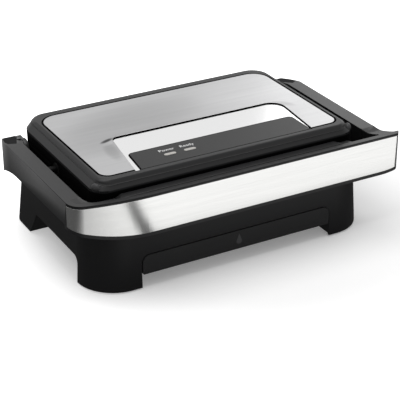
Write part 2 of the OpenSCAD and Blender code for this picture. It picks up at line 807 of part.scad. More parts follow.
// The left corner and the bow beside it, moved inwards by i.
function corner_path(i) = concat(
    arc([corner_x, corner_y], corner_r - i, corner_r - i, 180, corner_deg, 12),
    arc(bow_c, bow_r - i, bow_r - i, corner_deg, 270, 10));

// The front face's path from the left corner to the right tip, moved inwards by i.
function front_path(i) = concat(corner_path(i),
    arc([tip_x, front_y + tip_l / 2], tip_rx - i, tip_l / 2 - i, -90, tip_end_deg, 14));

// The frame's whole outer edge, from the left arm's rear end round the front to the right arm's.
outer_path = concat(
    arc([-arm_x + taper_r, arm_taper_y], taper_r, taper_r, 180 - taper_deg, 180, 6),
    front_path(0),
    arc([arm_x + flare_r, flare_y], flare_r, flare_r, 180 + flare_deg, 180, 10),
    arc([arm_x - taper_r, arm_taper_y], taper_r, taper_r, 0, taper_deg, 6));

// The ground behind the front face, i inwards of it, back to y1 and as wide as the arms.
module behind_front(i, y1) {
    r = corner_r - i;
    polygon(concat(corner_path(i), arc([arm_x - corner_r, front_y + corner_r], r, r, -90, 0, 12),
        [[arm_x - i, y1], [-arm_x + i, y1]]));
}

// The ground behind the raised lip: out to the right tip, but inside the lip at the left corner.
module behind_lip() {
    polygon(concat(corner_path(lip_w), [[tip_x + tip_rx - 3, front_y + lip_w]],
        [[far, front_y + lip_w + 3], [far, 0], [-arm_x + lip_w, 0]]));
}

// Lower edge of the front seen from ahead, dropped by d: level, rising to the left corner and tip.
function low_edge(d) = concat(
    arc([-bow_start, band_low_z - d + rise_r], rise_r, rise_r, 270 - asin((arm_x + 3 - bow_start) / rise_r),
        270, 12),
    arc([tip_rise_x, band_low_z - d + tip_rise_r], tip_rise_r, tip_rise_r, 270,
        270 + asin((tip_x + tip_rx + 2 - tip_rise_x) / tip_rise_r), 6));

module front_profile(d, top) {
    edge = low_edge(d);
    rotate([90, 0, 0]) translate([0, 0, -far / 2]) linear_extrude(far)
        polygon(concat(edge, [[edge[len(edge) - 1][0] + 6, top], [edge[0][0] - 6, top]]));
}

inner_corner_r = 16;
inner_lip_y = front_y + lip_w + 1.6;    // inner edge of the bar where it is lip only, at the right
lip_only_x = 134;             // from here to the right tip
front_end_y = front_y + 29;   // where the front bar gives way to the arms
arm_low_z = 74;
rear_low_z = 58.5;
sweep_y = 40;

// The inner edge runs parallel to the outer one where the right arm flares out to the tip.
inner_flare = arc([arm_in + flare_r, flare_y], flare_r, flare_r, 180, 238, 8);

module frame_plan() {
    left_c = [-arm_in + inner_corner_r, -bar_inner + inner_corner_r];
    polygon(concat(outer_path, [[arm_in, frame_rear_y]], inner_flare,
        [[inner_flare[8][0] - 1, inner_lip_y], [lip_only_x + 4, inner_lip_y], [lip_only_x, -bar_inner]],
        reversed(arc(left_c, inner_corner_r, inner_corner_r, 180, 270, 8)),
        [[-arm_in, frame_rear_y]]));
}

// Side view of the arms: a hollow sweep under the rear end and a falling top behind arm_taper_y.
module arm_profile() {
    run = frame_rear_y - sweep_y;
    drop = arm_low_z - rear_low_z;
    r = (run * run + drop * drop) / (2 * drop);
    rotate([90, 0, 90]) translate([0, 0, -far / 2]) linear_extrude(far) polygon(concat(
        [[front_end_y - eps, frame_top_z], [arm_taper_y, frame_top_z], [frame_rear_y, frame_rear_z]],
        arc([sweep_y, arm_low_z - r], r, r, 90 - asin(run / r), 90, 12),
        [[front_end_y - eps, arm_low_z + 2]]));
}

module handle_frame() {
    recess_t = band_t + 0.1;
    color("#2b2b2b") centred() difference() {
        union() {
            intersection() {
                linear_extrude(far) frame_plan();
                arm_profile();
            }
            intersection() {
                linear_extrude(far) frame_plan();
                front_profile(low_lip_h, frame_top_z);
                translate([-far, -far, 0]) cube([2 * far, far + front_end_y, far]);
            }
            for (s = [0, 1]) mirror([s, 0, 0]) {
                translate([0, hinge_y, hinge_z]) rod_x(knuckle_r, knuckle_in, arm_in + 1);
                intersection() {
                    translate([knuckle_in, hinge_y, hinge_z - knuckle_r])
                        cube([arm_in + 1 - knuckle_in, frame_rear_y - hinge_y, far]);
                    arm_profile();
                }
            }
        }
        // bed of the trim band
        intersection() {
            front_profile(0, band_top_z);
            linear_extrude(far) polygon(concat(front_path(-3), reversed(front_path(recess_t))));
        }
        // ledge behind the raised lip, with the arms' ends scooped down to it
        intersection() {
            translate([0, 0, ledge_z]) linear_extrude(ledge_drop + 1) behind_lip();
            rotate([90, 0, 90]) translate([0, 0, -far / 2]) linear_extrude(far)
                polygon([[-scoop_y, frame_top_z], [-scoop_y, far], [-far, far], [-far, ledge_z],
                    [-scoop_y - scoop_l, ledge_z]]);
        }
        // groove round the lip's face
        translate([0, 0, groove_z]) linear_extrude(groove_h)
            polygon(concat(front_path(-3), reversed(front_path(groove_h))));
        // finger hollow under the front bar
        hollow(recess_t + skin_t, ledge_z - bar_wall);
        translate([-bar_hollow_x, -bar_inner - bar_wall - 1, bar_inner_low - 60])
            cube([bar_hollow_x + bar_hollow_x1, bar_wall + 5, 60]);
        translate([bar_hollow_x1 - 1, inner_lip_y, bar_inner_low - 60])
            cube([lip_only_x + 6 - bar_hollow_x1, -bar_inner - inner_lip_y + 3, 60]);
        for (s = [0, 1]) mirror([s, 0, 0]) {
            translate([0, hinge_y, hinge_z]) rod_x(pin_r + bush_t + 0.02, knuckle_in - 1, pin_end + 0.5);
            translate([0, pivot_y, pivot_z]) rod_x(pin_r + 0.02, arm_in - 1, pivot_out);
        }
    }
}

ledge_z = frame_top_z - ledge_drop;
groove_h = 0.7;
groove_z = (band_top_z + frame_top_z) / 2;
bar_hollow_x = 146;           // reach of the hollow to the left
bar_hollow_x1 = lip_only_x - 4;   // and to the right
bar_inner_low = 80;
bar_wall = 2.6;
pivot_out = arm_in + 9;
pivot_in = lid_w / 2 - 7.5;

// Space inside the front bar behind a skin of the given thickness, open below, up to z1.
module hollow(skin, z1) {
    translate([0, 0, z1 - 60]) linear_extrude(60) intersection() {
        behind_front(skin, 0);
        translate([-bar_hollow_x, front_y])
            square([bar_hollow_x + bar_hollow_x1, -bar_inner - bar_wall - front_y]);
    }
}

module handle_trim() {
    color("#d5d5d3") centred() intersection() {
        linear_extrude(far) polygon(concat(front_path(0), reversed(front_path(band_t))));
        front_profile(0, band_top_z);
    }
}

module lid_pivot_pins() {
    color("#c4c4c4") centred() for (s = [0, 1]) mirror([s, 0, 0])
        translate([0, pivot_y, pivot_z]) rod_x(pin_r, pivot_in, pivot_out);
}

// ---- lid ----

lid_half = lid_w / 2;
rim_step = 0.8;         // width of the ledge at the step line
rim_bevel_z = lid_top_z - 1.7;
rim_bevel = 2.7;
rim_back = 4.2;         // extra width of the bevel behind
front_share = 0.55;     // the front wall leans this much as far as the sides
back_share = 0.25;      // and the rear wall this much
lid_wall = 2.4;
deck_t = 2;
plate_seat_z = lid_top_z - top_plate_t;
inlay_t = 0.8;
recess_z = lid_top_z - recess_h - inlay_t;
panel_drop = 0.6;       // the panel's top lies this far below the top plate

// The lid's outline at height z where its sides have come in by lean, thinned all round by wall.
module lid_slice(z, lean, wall, back) {
    translate([0, 0, z]) linear_extrude(eps) rounded(-lid_half + lean + wall, lid_half - lean - wall,
        -lid_front + lean * front_share + wall, lid_rear - lean * back_share - wall - back,
        lid_front_r - lean * 0.5 - wall, lid_rear_r - lean * 0.5 - wall, $fn = facet_fn * 2);
}

// The lid's body: nearly upright walls, then a chamfer from the shoulder in to the step line.
module lid_body() {
    hull() {
        lid_slice(lid_low_z, lid_draft, 0, 0);
        lid_slice(lid_shoulder_z, 0, 0, 0);
        lid_slice(lid_step_z - eps, lid_chamfer, 0, 0);
    }
}

module lid_rim() {
    rim_in = lid_chamfer + rim_step;
    hull() {
        lid_slice(lid_step_z - 1, rim_in, 0, 0);
        lid_slice(rim_bevel_z, rim_in, 0, 0);
        lid_slice(lid_top_z - eps, rim_in + rim_bevel, 0, rim_back);
    }
}

module lid_cavity(ceiling) {
    hull() {
        lid_slice(lid_low_z - 1, lid_draft, lid_wall, 0);
        lid_slice(ceiling - eps, lid_chamfer, lid_wall, 0);
    }
}

module top_plate_outline(inset) {
    rounded(-top_plate_w / 2 + inset, top_plate_w / 2 - inset, -top_plate_front + inset,
        top_plate_rear - inset, 12 - inset, 20 - inset);
}

// Outline from y0 back to y1 between two sides that start at x0 and x1 and lean by slopes t0 and t1,
// with radius r0 at its left rear corner and r1 at its right.
function rear_arc(x, t, y0, y1, r, s) =
    [x + (y1 - r - y0) * t - s * r / cos(atan(t)), y1 - r];

module rear_rounded(x0, x1, t0, t1, y0, y1, r0, r1) {
    polygon(concat([[x0, y0], [x1, y0]],
        arc(rear_arc(x1, t1, y0, y1, r1, 1), r1, r1, -atan(t1), 90, 8),
        arc(rear_arc(x0, t0, y0, y1, r0, -1), r0, r0, 90, 180 - atan(t0), 8)));
}

// Outline of the recess in the lid's top, open in front.
module recess_outline(grow) {
    w = cutout_w / 2 + grow;
    rear_rounded(-w, w, cutout_lean_left, cutout_lean_right, -top_plate_front - 1,
        cutout_rear + grow, cutout_left_r + grow, cutout_right_r + grow);
}

module panel_outline(grow) {
    rear_rounded(-panel_left - grow, panel_right + grow, panel_lean, 0,
        -top_plate_front + 0.4 - grow, -panel_rear + grow, panel_r + grow, panel_r + grow);
}

panel_r = 5;

module lamp_outline(x, grow) {
    r = lamp_w / 2 + grow;
    d = (lamp_l - lamp_w) / 2;
    for (s = [-1, 1]) translate([x + s * d, -lamp_fwd]) circle(r);
    translate([x - d, -lamp_fwd - r]) square([2 * d, 2 * r]);
}

module lid_shell() {
    ceiling = recess_z - deck_t;
    color("#2a2a2a") centred() difference() {
        union() {
            difference() {
                union() {
                    lid_body();
                    lid_rim();
                }
                lid_cavity(ceiling);
            }
            // blocks that carry the pivot bushes
            for (s = [0, 1]) mirror([s, 0, 0]) translate([pivot_in, pivot_y - 9, lid_low_z])
                cube([lid_half - 3 - pivot_in, 18, lid_shoulder_z - 1 - lid_low_z]);
            translate([0, 0, upper_top_z + reflector_gap + pan_t]) at_posts()
                cylinder(r = post_r, h = ceiling + 1 - upper_top_z - reflector_gap - pan_t);
            // round bosses on the front corners
            for (s = [0, 1]) mirror([s, 0, 0])
                translate([lid_half - lid_front_r, -lid_front + lid_front_r, boss_z])
                    rotate([0, 90, -30]) translate([0, 0, boss_reach - boss_l])
                        cylinder(r = boss_r, h = boss_l);
        }
        translate([0, 0, plate_seat_z]) linear_extrude(10) difference() {
            top_plate_outline(0);
            recess_outline(0);
        }
        translate([0, 0, recess_z]) linear_extrude(10) recess_outline(0);
        translate([0, 0, ceiling - 1]) linear_extrude(10) {
            lamp_outline(-lamp_left, 1);
            lamp_outline(-lamp_left + lamp_pitch, 1);
        }
        for (s = [0, 1]) mirror([s, 0, 0]) translate([0, pivot_y, pivot_z])
            rod_x(pin_r + bush_t + 0.02, pivot_in - 1, lid_half + 1);
        translate([0, 0, plate_seat_z - screw_head_h]) at_posts() cylinder(r = screw_head_r + 0.2, h = 10);
        translate([0, 0, upper_top_z]) at_posts() cylinder(r = screw_r + 0.1, h = lid_top_z - upper_top_z);
        for (x = [-cover_screw_x, 0, cover_screw_x]) translate([x, cover_screw_y, lid_low_z])
            cylinder(r = 1.6, h = 12);
    }
}

boss_r = 4;
boss_l = 6;
boss_reach = 14.6;
boss_z = 106.2;

module lid_top_plate() {
    color("#b9babb") centred() translate([0, 0, plate_seat_z]) linear_extrude(top_plate_t) difference() {
        top_plate_outline(plate_seam);
        recess_outline(-0.1);
    }
}

module lid_inlay() {
    color("#e4e4e4") centred() translate([0, 0, recess_z]) linear_extrude(inlay_t) difference() {
        recess_outline(-0.2);
        panel_outline(panel_seam);
        translate([-far / 2, -far - top_plate_front]) square(far);
    }
}

module control_panel() {
    h = lid_top_z - panel_drop - recess_z;
    color("#4b4b4c") centred() translate([0, 0, recess_z]) linear_extrude(h) difference() {
        panel_outline(0);
        lamp_outline(-lamp_left, 0.1);
        lamp_outline(-lamp_left + lamp_pitch, 0.1);
    }
}

// A lens that fills its window in the panel, with a flange underneath.
module lamp(x) {
    top = lid_top_z - panel_drop + 0.4;
    translate([0, 0, recess_z - 1]) linear_extrude(top - recess_z + 1) lamp_outline(x, 0);
    translate([0, 0, recess_z - 1.2]) linear_extrude(1.2) lamp_outline(x, 0.7);
}

module power_lamp() {
    color("#c7b9a2") centred() lamp(-lamp_left);
}

module ready_lamp() {
    color("#c7b9a2") centred() lamp(-lamp_left + lamp_pitch);
}

module indicator_board() {
    x = -lamp_left + lamp_pitch / 2;
    z = recess_z - deck_t - 0.3 - 1.6;
    color("#2f5a3a") centred() translate([x - 30, -lamp_fwd - 9, z]) cube([60, 18, 1.6]);
    color("#d8d8c8") centred() for (s = [-1, 1])
        translate([x + s * lamp_pitch / 2, -lamp_fwd, z + 1.6 - eps]) cylinder(r = 1.6, h = 1);
}

upper_slab_z = upper_crest_z + rib_h;
upper_top_z = upper_slab_z + slab_t;
upper_w = 2 * pivot_in - 2;
upper_l = plate_l - 9;

module upper_grill_plate() {
    y0 = plate_y - upper_l / 2;
    y1 = plate_y + upper_l / 2;
    color("#2e2c2b") centred() union() {
        difference() {
            slab(-upper_w / 2, upper_w / 2, y0, y1, 18, 14, upper_crest_z + 1, upper_top_z);
            slab(-upper_w / 2 + 3, upper_w / 2 - 3, y0 + 3, y1 - 3, 15, 11, upper_crest_z, upper_slab_z);
        }
        ribs(upper_slab_z, -1);
        translate([0, 0, upper_top_z - eps]) at_posts() difference() {
            cylinder(r = post_r, h = reflector_gap);
            translate([0, 0, 1]) cylinder(r = screw_r + 0.05, h = reflector_gap);
        }
    }
}

reflector_gap = 9;

module upper_heating_element() {
    color("#4a4a4c") centred() element(upper_top_z + element_r + fit, upper_top_z + reflector_gap + 5);
}

module upper_reflector() {
    x = upper_w / 2 - 4;
    y0 = plate_y - upper_l / 2 + 8;
    y1 = plate_y + upper_l / 2 - 8;
    z1 = upper_top_z + reflector_gap;
    color("#c9c9c9") centred() difference() {
        slab(-x, x, y0, y1, pan_r, pan_r, upper_top_z, z1 + pan_t);
        slab(-x + pan_t, x - pan_t, y0 + pan_t, y1 - pan_t, pan_r - pan_t, pan_r - pan_t,
            upper_top_z - 1, z1);
        translate([0, 0, z1 - 1]) {
            at_cold_ends() cylinder(r = element_r + 0.6, h = 4);
            at_posts() cylinder(r = screw_r + 0.1, h = 4);
        }
    }
}

// Screws down through the lid's deck into the upper plate's posts, hidden by the top plate.
module upper_plate_screws() {
    color("#a9a9a9") centred() at_posts() {
        translate([0, 0, plate_seat_z - screw_head_h]) cylinder(r = screw_head_r, h = screw_head_h - 0.1);
        translate([0, 0, upper_top_z + 2]) cylinder(r = screw_r, h = plate_seat_z - 1 - upper_top_z - 2);
    }
}

module upper_thermostat() {
    translate([0, plate_y, upper_top_z + fit - 0.2]) color("#cfc9bd") centred() cylinder(r = 7, h = 7);
}

cover_y0 = plate_y + upper_l / 2 + 1;
cover_screw_x = 110;
cover_screw_y = (cover_y0 + lid_rear) / 2;

module lid_rear_cover() {
    inset = lid_wall + lid_draft + 1.3;
    color("#1f1f1f") centred() difference() {
        intersection() {
            slab(-lid_half + inset, lid_half - inset, -lid_front, lid_rear - inset, 4,
                lid_rear_r - inset, lid_low_z + 0.4, lid_low_z + 2.8);
            translate([-far / 2, cover_y0, 0]) cube([far, far, far]);
        }
        for (x = [-cover_screw_x, 0, cover_screw_x]) translate([x, cover_screw_y, lid_low_z])
            cylinder(r = 1.7, h = 10);
    }
    color("#1f1f1f") centred() for (x = [-cover_screw_x, 0, cover_screw_x])
        translate([x, cover_screw_y, lid_low_z + 2.8 - eps]) difference() {
            cylinder(r = 4, h = recess_z - deck_t - lid_low_z - 5);
            translate([0, 0, -1]) cylinder(r = 1.7, h = 12);
        }
}

module lid_cover_screws() {
    color("#b8b8b8") centred() for (x = [-cover_screw_x, 0, cover_screw_x])
        translate([x, cover_screw_y, lid_low_z]) {
            translate([0, 0, -1.2]) cylinder(r = 3.2, h = 1.6);
            cylinder(r = 1.6, h = 10);
        }
}

module lid_pivot_bushes() {
    color("#d8d0bb") centred() for (s = [0, 1]) mirror([s, 0, 0])
        translate([0, pivot_y, pivot_z]) ring(pin_r + bush_t, pin_r + run_gap, pivot_in, lid_half + 0.5);
}

base_housing();
front_leg_left();
front_leg_right();
rear_leg_left();
rear_leg_right();
side_skirt_left();
side_skirt_right();
base_bottom_cover();
bottom_cover_screws();
rubber_feet();
tray_rail_left();
tray_rail_right();
base_bezel();
lower_reflector();
lower_heating_element();
lower_grill_plate();
lower_thermostat();
thermal_fuse();
terminal_block();
cable_inlet();
hinge_bracket_left();
hinge_bracket_right();
bracket_screws();
hinge_pins();
hinge_cap_left();
hinge_cap_right();
drip_tray();
handle_frame();
handle_trim();
hinge_bushes();
lid_pivot_pins();
lid_shell();
lid_top_plate();
lid_inlay();
control_panel();
power_lamp();
ready_lamp();
indicator_board();
upper_reflector();
upper_heating_element();
upper_grill_plate();
upper_thermostat();
upper_plate_screws();
lower_plate_screws();
lid_rear_cover();
lid_cover_screws();
lid_pivot_bushes();
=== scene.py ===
"""Electric contact grill with a hinged lid, dressed over its CAD frame. Metres throughout."""

import json
import math

import bmesh
import bpy
from mathutils import Matrix, Vector


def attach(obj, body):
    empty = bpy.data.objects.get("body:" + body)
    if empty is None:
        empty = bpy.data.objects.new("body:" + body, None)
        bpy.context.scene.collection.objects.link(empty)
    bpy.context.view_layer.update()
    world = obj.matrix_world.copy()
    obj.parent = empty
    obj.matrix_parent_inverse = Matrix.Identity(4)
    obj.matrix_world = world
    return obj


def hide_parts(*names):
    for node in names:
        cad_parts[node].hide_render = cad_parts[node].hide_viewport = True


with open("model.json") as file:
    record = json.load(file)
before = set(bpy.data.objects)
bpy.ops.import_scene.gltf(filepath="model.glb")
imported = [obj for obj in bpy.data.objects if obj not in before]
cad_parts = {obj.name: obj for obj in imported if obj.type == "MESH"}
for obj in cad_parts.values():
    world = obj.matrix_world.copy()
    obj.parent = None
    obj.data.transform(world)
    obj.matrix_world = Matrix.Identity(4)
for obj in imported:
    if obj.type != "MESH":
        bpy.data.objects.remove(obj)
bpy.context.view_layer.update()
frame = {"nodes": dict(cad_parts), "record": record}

MM = 0.001
CENTRE_X = -8 * MM  # the lid's middle lies left of the origin, because of the flared tip

# Camera, as the photograph was taken
CAMERA_AZIMUTH = math.radians(29.077)
CAMERA_ELEVATION = math.radians(27.039)
CAMERA_ROLL = math.radians(-0.075)
CAMERA_TARGET = Vector((-4.753 * MM + CENTRE_X, -30.806 * MM, 43.846 * MM))
CAMERA_DISTANCE = 1368.53 * MM
CAMERA_LENS = 119.616
CAMERA_SHIFT_Y = -0.0125

# Levels shared with the CAD
PANEL_TOP = 113.5 * MM
LAMP_Y = -58.5 * MM
LAMP_X = (-53.3 * MM + CENTRE_X, -31.3 * MM + CENTRE_X)
TRAY_FRONT_Y = -102.53 * MM
TRAY_MARK_Z = 25.4 * MM
LID_SHOULDER = 105 * MM
LID_DARK = (102.2 * MM, 104.4 * MM)  # painted shade: the lid's wall is painted near black below the first, coming up to its colour at the second, for the gap's dark

# The top plate in its opening in the lid, and the dark line round it
PLATE_WIDTH = 270 * MM
PLATE_FRONT = 76 * MM
PLATE_REAR = 83 * MM
PLATE_FRONT_RADIUS = 12 * MM
PLATE_REAR_RADIUS = 20 * MM
PLATE_TOP = 114.1 * MM
SEAM_LOW = 112 * MM  # the shell is dark above this level, near the plate
SEAM_DEPTH = 0.5 * MM
SEAM_REACH = 0.3 * MM  # how far the dark goes on either side of the opening's edge
SEAM_LINE = 1.1 * MM  # width of the dark line along the plate's edge
SEAM_SPARE = 0.75 * MM  # further in, for the gap between the opening and the plate

# The panel's outline, from the lid's middle, and the dark line along its sides and rear
PANEL_FRONT = -74.5 * MM
PANEL_REAR = -38.2 * MM
PANEL_LEFT = 94 * MM
PANEL_LEAN = 0.12
PANEL_RIGHT = 98.6 * MM
PANEL_LINE = 1.0 * MM
PANEL_SIDE_EDGE = 1.5 * MM  # a face whose middle is nearer to the outline than this is dark
PANEL_REAR_EDGE = 1.2 * MM

# The line under the lid's rim, which drops towards the front over the fade
STEP_Z = 111 * MM
STEP_NEAR = 0.15 * MM
STEP_DROP = 1.8 * MM
STEP_FORWARD = 0.55  # share of the drop by which the line also comes forward
STEP_FADE = (70 * MM, 83 * MM)


# ---- shader groups ----

FINE_BRUSHING = (22, 1500, 1500)  # pattern cells per metre along each axis
BROAD_BRUSHING = (7, 160, 160)
FINE_SHARE = 0.55
GRAIN_SCALE = 2600  # cells per metre
PATCH_SCALE = 30


def group_with(name, inputs, outputs):
    """A shader group with its sockets made, and its two end nodes."""
    group = bpy.data.node_groups.new(name, "ShaderNodeTree")
    for label, kind, value in inputs:
        socket = group.interface.new_socket(name=label, in_out="INPUT", socket_type=kind)
        if value is not None:
            socket.default_value = value
    for label, kind in outputs:
        group.interface.new_socket(name=label, in_out="OUTPUT", socket_type=kind)
    start = group.nodes.new("NodeGroupInput")
    end = group.nodes.new("NodeGroupOutput")
    return group, start, end


def math_node(tree, operation, first, second=None, clamp=False):
    """A Math node whose inputs are sockets or numbers; gives back its output."""
    node = tree.nodes.new("ShaderNodeMath")
    node.operation = operation
    node.use_clamp = clamp
    for index, source in enumerate((first, second)):
        if source is None:
            continue
        if isinstance(source, (int, float)):
            node.inputs[index].default_value = source
        else:
            tree.links.new(source, node.inputs[index])
    return node.outputs[0]


def ramp_value(tree, value, low, high, at_low, at_high):
    """A smooth Map Range from low..high to at_low..at_high, held at both ends."""
    ramp = tree.nodes.new("ShaderNodeMapRange")
    ramp.interpolation_type = "SMOOTHSTEP"
    ramp.inputs["From Min"].default_value = low
    ramp.inputs["From Max"].default_value = high
    ramp.inputs["To Min"].default_value = at_low
    ramp.inputs["To Max"].default_value = at_high
    tree.links.new(value, ramp.inputs["Value"])
    return ramp.outputs[0]


def noise_value(tree, vector, scale, detail, roughness):
    """A Noise texture's value at that scale per metre."""
    node = tree.nodes.new("ShaderNodeTexNoise")
    node.inputs["Scale"].default_value = scale
    node.inputs["Detail"].default_value = detail
    node.inputs["Roughness"].default_value = roughness
    tree.links.new(vector, node.inputs["Vector"])
    return node.outputs[0]


def stretched(tree, vector, scale):
    """The vector scaled along each axis, for a pattern that runs one way."""
    node = tree.nodes.new("ShaderNodeVectorMath")
    node.operation = "MULTIPLY"
    node.inputs[1].default_value = scale
    tree.links.new(vector, node.inputs[0])
    return node.outputs[0]


def make_brushing():
    """Fine parallel brush lines along X, with broader, fainter bands between them."""
    group, start, end = group_with(
        "brushing",
        [("Vector", "NodeSocketVector", None), ("Strength", "NodeSocketFloat", 0.1)],
        [("Shade", "NodeSocketFloat"), ("Height", "NodeSocketFloat")],
    )
    vector = start.outputs["Vector"]
    fine = noise_value(group, stretched(group, vector, FINE_BRUSHING), 1.0, 3.0, 0.6)
    broad = noise_value(group, stretched(group, vector, BROAD_BRUSHING), 1.0, 2.0, 0.5)
    fine_part = math_node(group, "MULTIPLY", fine, FINE_SHARE)
    broad_part = math_node(group, "MULTIPLY", broad, 1 - FINE_SHARE)
    mixed = math_node(group, "ADD", fine_part, broad_part)
    centred = math_node(group, "SUBTRACT", mixed, 0.5)
    scaled = math_node(group, "MULTIPLY", centred, start.outputs["Strength"])
    shade = math_node(group, "ADD", scaled, 1.0)
    group.links.new(shade, end.inputs["Shade"])
    group.links.new(fine, end.inputs["Height"])
    return group


def make_grain():
    """The fine grain of a surface, and slow patches in how glossy it is."""
    group, start, end = group_with(
        "moulding_grain",
        [("Vector", "NodeSocketVector", None), ("Patch", "NodeSocketFloat", 0.06)],
        [("Height", "NodeSocketFloat"), ("Patchiness", "NodeSocketFloat")],
    )
    vector = start.outputs["Vector"]
    grain = noise_value(group, vector, GRAIN_SCALE, 2.0, 0.5)
    slow = noise_value(group, vector, PATCH_SCALE, 3.0, 0.6)
    centred = math_node(group, "SUBTRACT", slow, 0.5)
    group.links.new(grain, end.inputs["Height"])
    patchiness = math_node(group, "MULTIPLY", centred, start.outputs["Patch"])
    group.links.new(patchiness, end.inputs["Patchiness"])
    return group


# Painted shade and highlight on the steel plate: centre in mm, turn in degrees, half length and half
# width in mm, and change of shade at the middle. The first four paint the shading of the pressed dips,
# the others a slow painted light sweep.
PAINTED_SHADE_SPOTS = (
    ((-103, -2.5), 22, 11, 3.4, -0.9),
    ((-104, -9), 22, 10, 4.5, 0.16),
    ((-109, -28), 82, 26, 9, -0.22),
    ((101, -8), -50, 16, 6, -0.2),
    ((-70, 20), 20, 110, 60, -0.2),
    ((95, 45), 20, 90, 70, 0.16),
)


def soft_spot(group, x, y, centre, turn, half_long, half_wide):
    """1 at the middle of a turned ellipse, falling smoothly to 0 at its edge."""
    along_x, along_y = math.cos(turn), math.sin(turn)
    from_x = math_node(group, "SUBTRACT", x, centre[0] * MM)
    from_y = math_node(group, "SUBTRACT", y, centre[1] * MM)
    long_way = math_node(
        group,
        "ADD",
        math_node(group, "MULTIPLY", from_x, along_x / (half_long * MM)),
        math_node(group, "MULTIPLY", from_y, along_y / (half_long * MM)),
    )
    wide_way = math_node(
        group,
        "ADD",
        math_node(group, "MULTIPLY", from_x, -along_y / (half_wide * MM)),
        math_node(group, "MULTIPLY", from_y, along_x / (half_wide * MM)),
    )
    squares = math_node(
        group,
        "ADD",
        math_node(group, "MULTIPLY", long_way, long_way),
        math_node(group, "MULTIPLY", wide_way, wide_way),
    )
    return ramp_value(group, squares, 0.0, 1.0, 1.0, 0.0)


def make_plate_painted_shade():
    """The product of all the painted shades and highlights on the steel plate."""
    group, start, end = group_with(
        "painted_shade", [("Vector", "NodeSocketVector", None)], [("Shade", "NodeSocketFloat")]
    )
    split = group.nodes.new("ShaderNodeSeparateXYZ")
    group.links.new(start.outputs["Vector"], split.inputs[0])
    x, y = split.outputs["X"], split.outputs["Y"]
    shade = None
    for centre, turn, half_long, half_wide, change in PAINTED_SHADE_SPOTS:
        spot = soft_spot(group, x, y, centre, math.radians(turn), half_long, half_wide)
        part = math_node(group, "ADD", math_node(group, "MULTIPLY", spot, change), 1.0)
        shade = part if shade is None else math_node(group, "MULTIPLY", shade, part)
    group.links.new(shade, end.inputs["Shade"])
    return group


BRUSHING = make_brushing()
PLATE_PAINTED_SHADE = make_plate_painted_shade()
GRAIN = make_grain()


# ---- materials ----

MATT_ROUGHNESS = 0.85
MATT_IOR = 1.12
SHADOW_LEAST = 0.02  # share of its colour that a face keeps in the dark
GRAIN_DEPTH = 0.02 * MM
BRUSHING_DEPTH = 0.01 * MM


def plain_material(name, color, roughness, metallic=0.0, ior=1.45):
    """A Principled material with these values on its sockets; gives back it, its tree and shader."""
    material = bpy.data.materials.new(name)
    material.use_nodes = True
    tree = material.node_tree
    shader = tree.nodes["Principled BSDF"]
    shader.inputs["Base Color"].default_value = (*color, 1.0)
    shader.inputs["Roughness"].default_value = roughness
    shader.inputs["Metallic"].default_value = metallic
    shader.inputs["IOR"].default_value = ior
    return material, tree, shader


def object_vector(tree):
    """The place on the object, in metres."""
    return tree.nodes.new("ShaderNodeTexCoord").outputs["Object"]


def placed_group(tree, group, vector, **values):
    """One use of a shader group in a material."""
    node = tree.nodes.new("ShaderNodeGroup")
    node.node_tree = group
    tree.links.new(vector, node.inputs["Vector"])
    for label, value in values.items():
        node.inputs[label].default_value = value
    return node


def bumped(tree, shader, height, strength, distance):
    """Lets the height tilt the shader's normal."""
    bump = tree.nodes.new("ShaderNodeBump")
    bump.inputs["Strength"].default_value = strength
    bump.inputs["Distance"].default_value = distance
    tree.links.new(height, bump.inputs["Height"])
    tree.links.new(bump.outputs[0], shader.inputs["Normal"])


def tinted(tree, shader, shade, color):
    """Base Color as that colour times a shade that changes over the surface."""
    mix = tree.nodes.new("ShaderNodeMix")
    mix.data_type = "RGBA"
    mix.blend_type = "MULTIPLY"
    mix.inputs["Factor"].default_value = 1.0
    mix.inputs["A"].default_value = (*color, 1.0)
    tree.links.new(shade, mix.inputs["B"])
    tree.links.new(mix.outputs["Result"], shader.inputs["Base Color"])


def moulded_plastic(name, color, roughness, ior, grain=0.12, patch=0.06):
    """A moulding or coating with faint grain, whose gloss varies a little."""
    material, tree, shader = plain_material(name, color, roughness, ior=ior)
    node = placed_group(tree, GRAIN, object_vector(tree), Patch=patch)
    rough = math_node(tree, "ADD", node.outputs["Patchiness"], roughness, clamp=True)
    tree.links.new(rough, shader.inputs["Roughness"])
    bumped(tree, shader, node.outputs["Height"], grain, GRAIN_DEPTH)
    return material


def painted_shade_plastic(name, color, low, high):
    """A moulding's face with painted shade: near black below low, coming up to its colour at high."""
    material, tree, shader = plain_material(name, color, MATT_ROUGHNESS, ior=MATT_IOR)
    split = tree.nodes.new("ShaderNodeSeparateXYZ")
    tree.links.new(object_vector(tree), split.inputs[0])
    tinted(tree, shader, ramp_value(tree, split.outputs["Z"], low, high, SHADOW_LEAST, 1.0), color)
    return material


def brushed_metal(name, color, roughness, strength, depth, painted_shade=False):
    """Steel brushed along X; with painted_shade, also the painted shade and highlights of the top
    plate.
    """
    material, tree, shader = plain_material(name, color, roughness, metallic=1.0)
    vector = object_vector(tree)
    node = placed_group(tree, BRUSHING, vector, Strength=strength)
    shade = node.outputs["Shade"]
    if painted_shade:
        # painted shade and highlight on the plate, from the listed spots
        shade = math_node(tree, "MULTIPLY", shade, placed_group(tree, PLATE_PAINTED_SHADE, vector).outputs["Shade"])
    tinted(tree, shader, shade, color)
    bumped(tree, shader, node.outputs["Height"], depth, BRUSHING_DEPTH)
    return material


def bare_metal(name, color, roughness, patch):
    """Plain metal whose polish varies in slow patches."""
    material, tree, shader = plain_material(name, color, roughness, metallic=1.0)
    node = placed_group(tree, GRAIN, object_vector(tree), Patch=patch)
    rough = math_node(tree, "ADD", node.outputs["Patchiness"], roughness, clamp=True)
    tree.links.new(rough, shader.inputs["Roughness"])
    return material


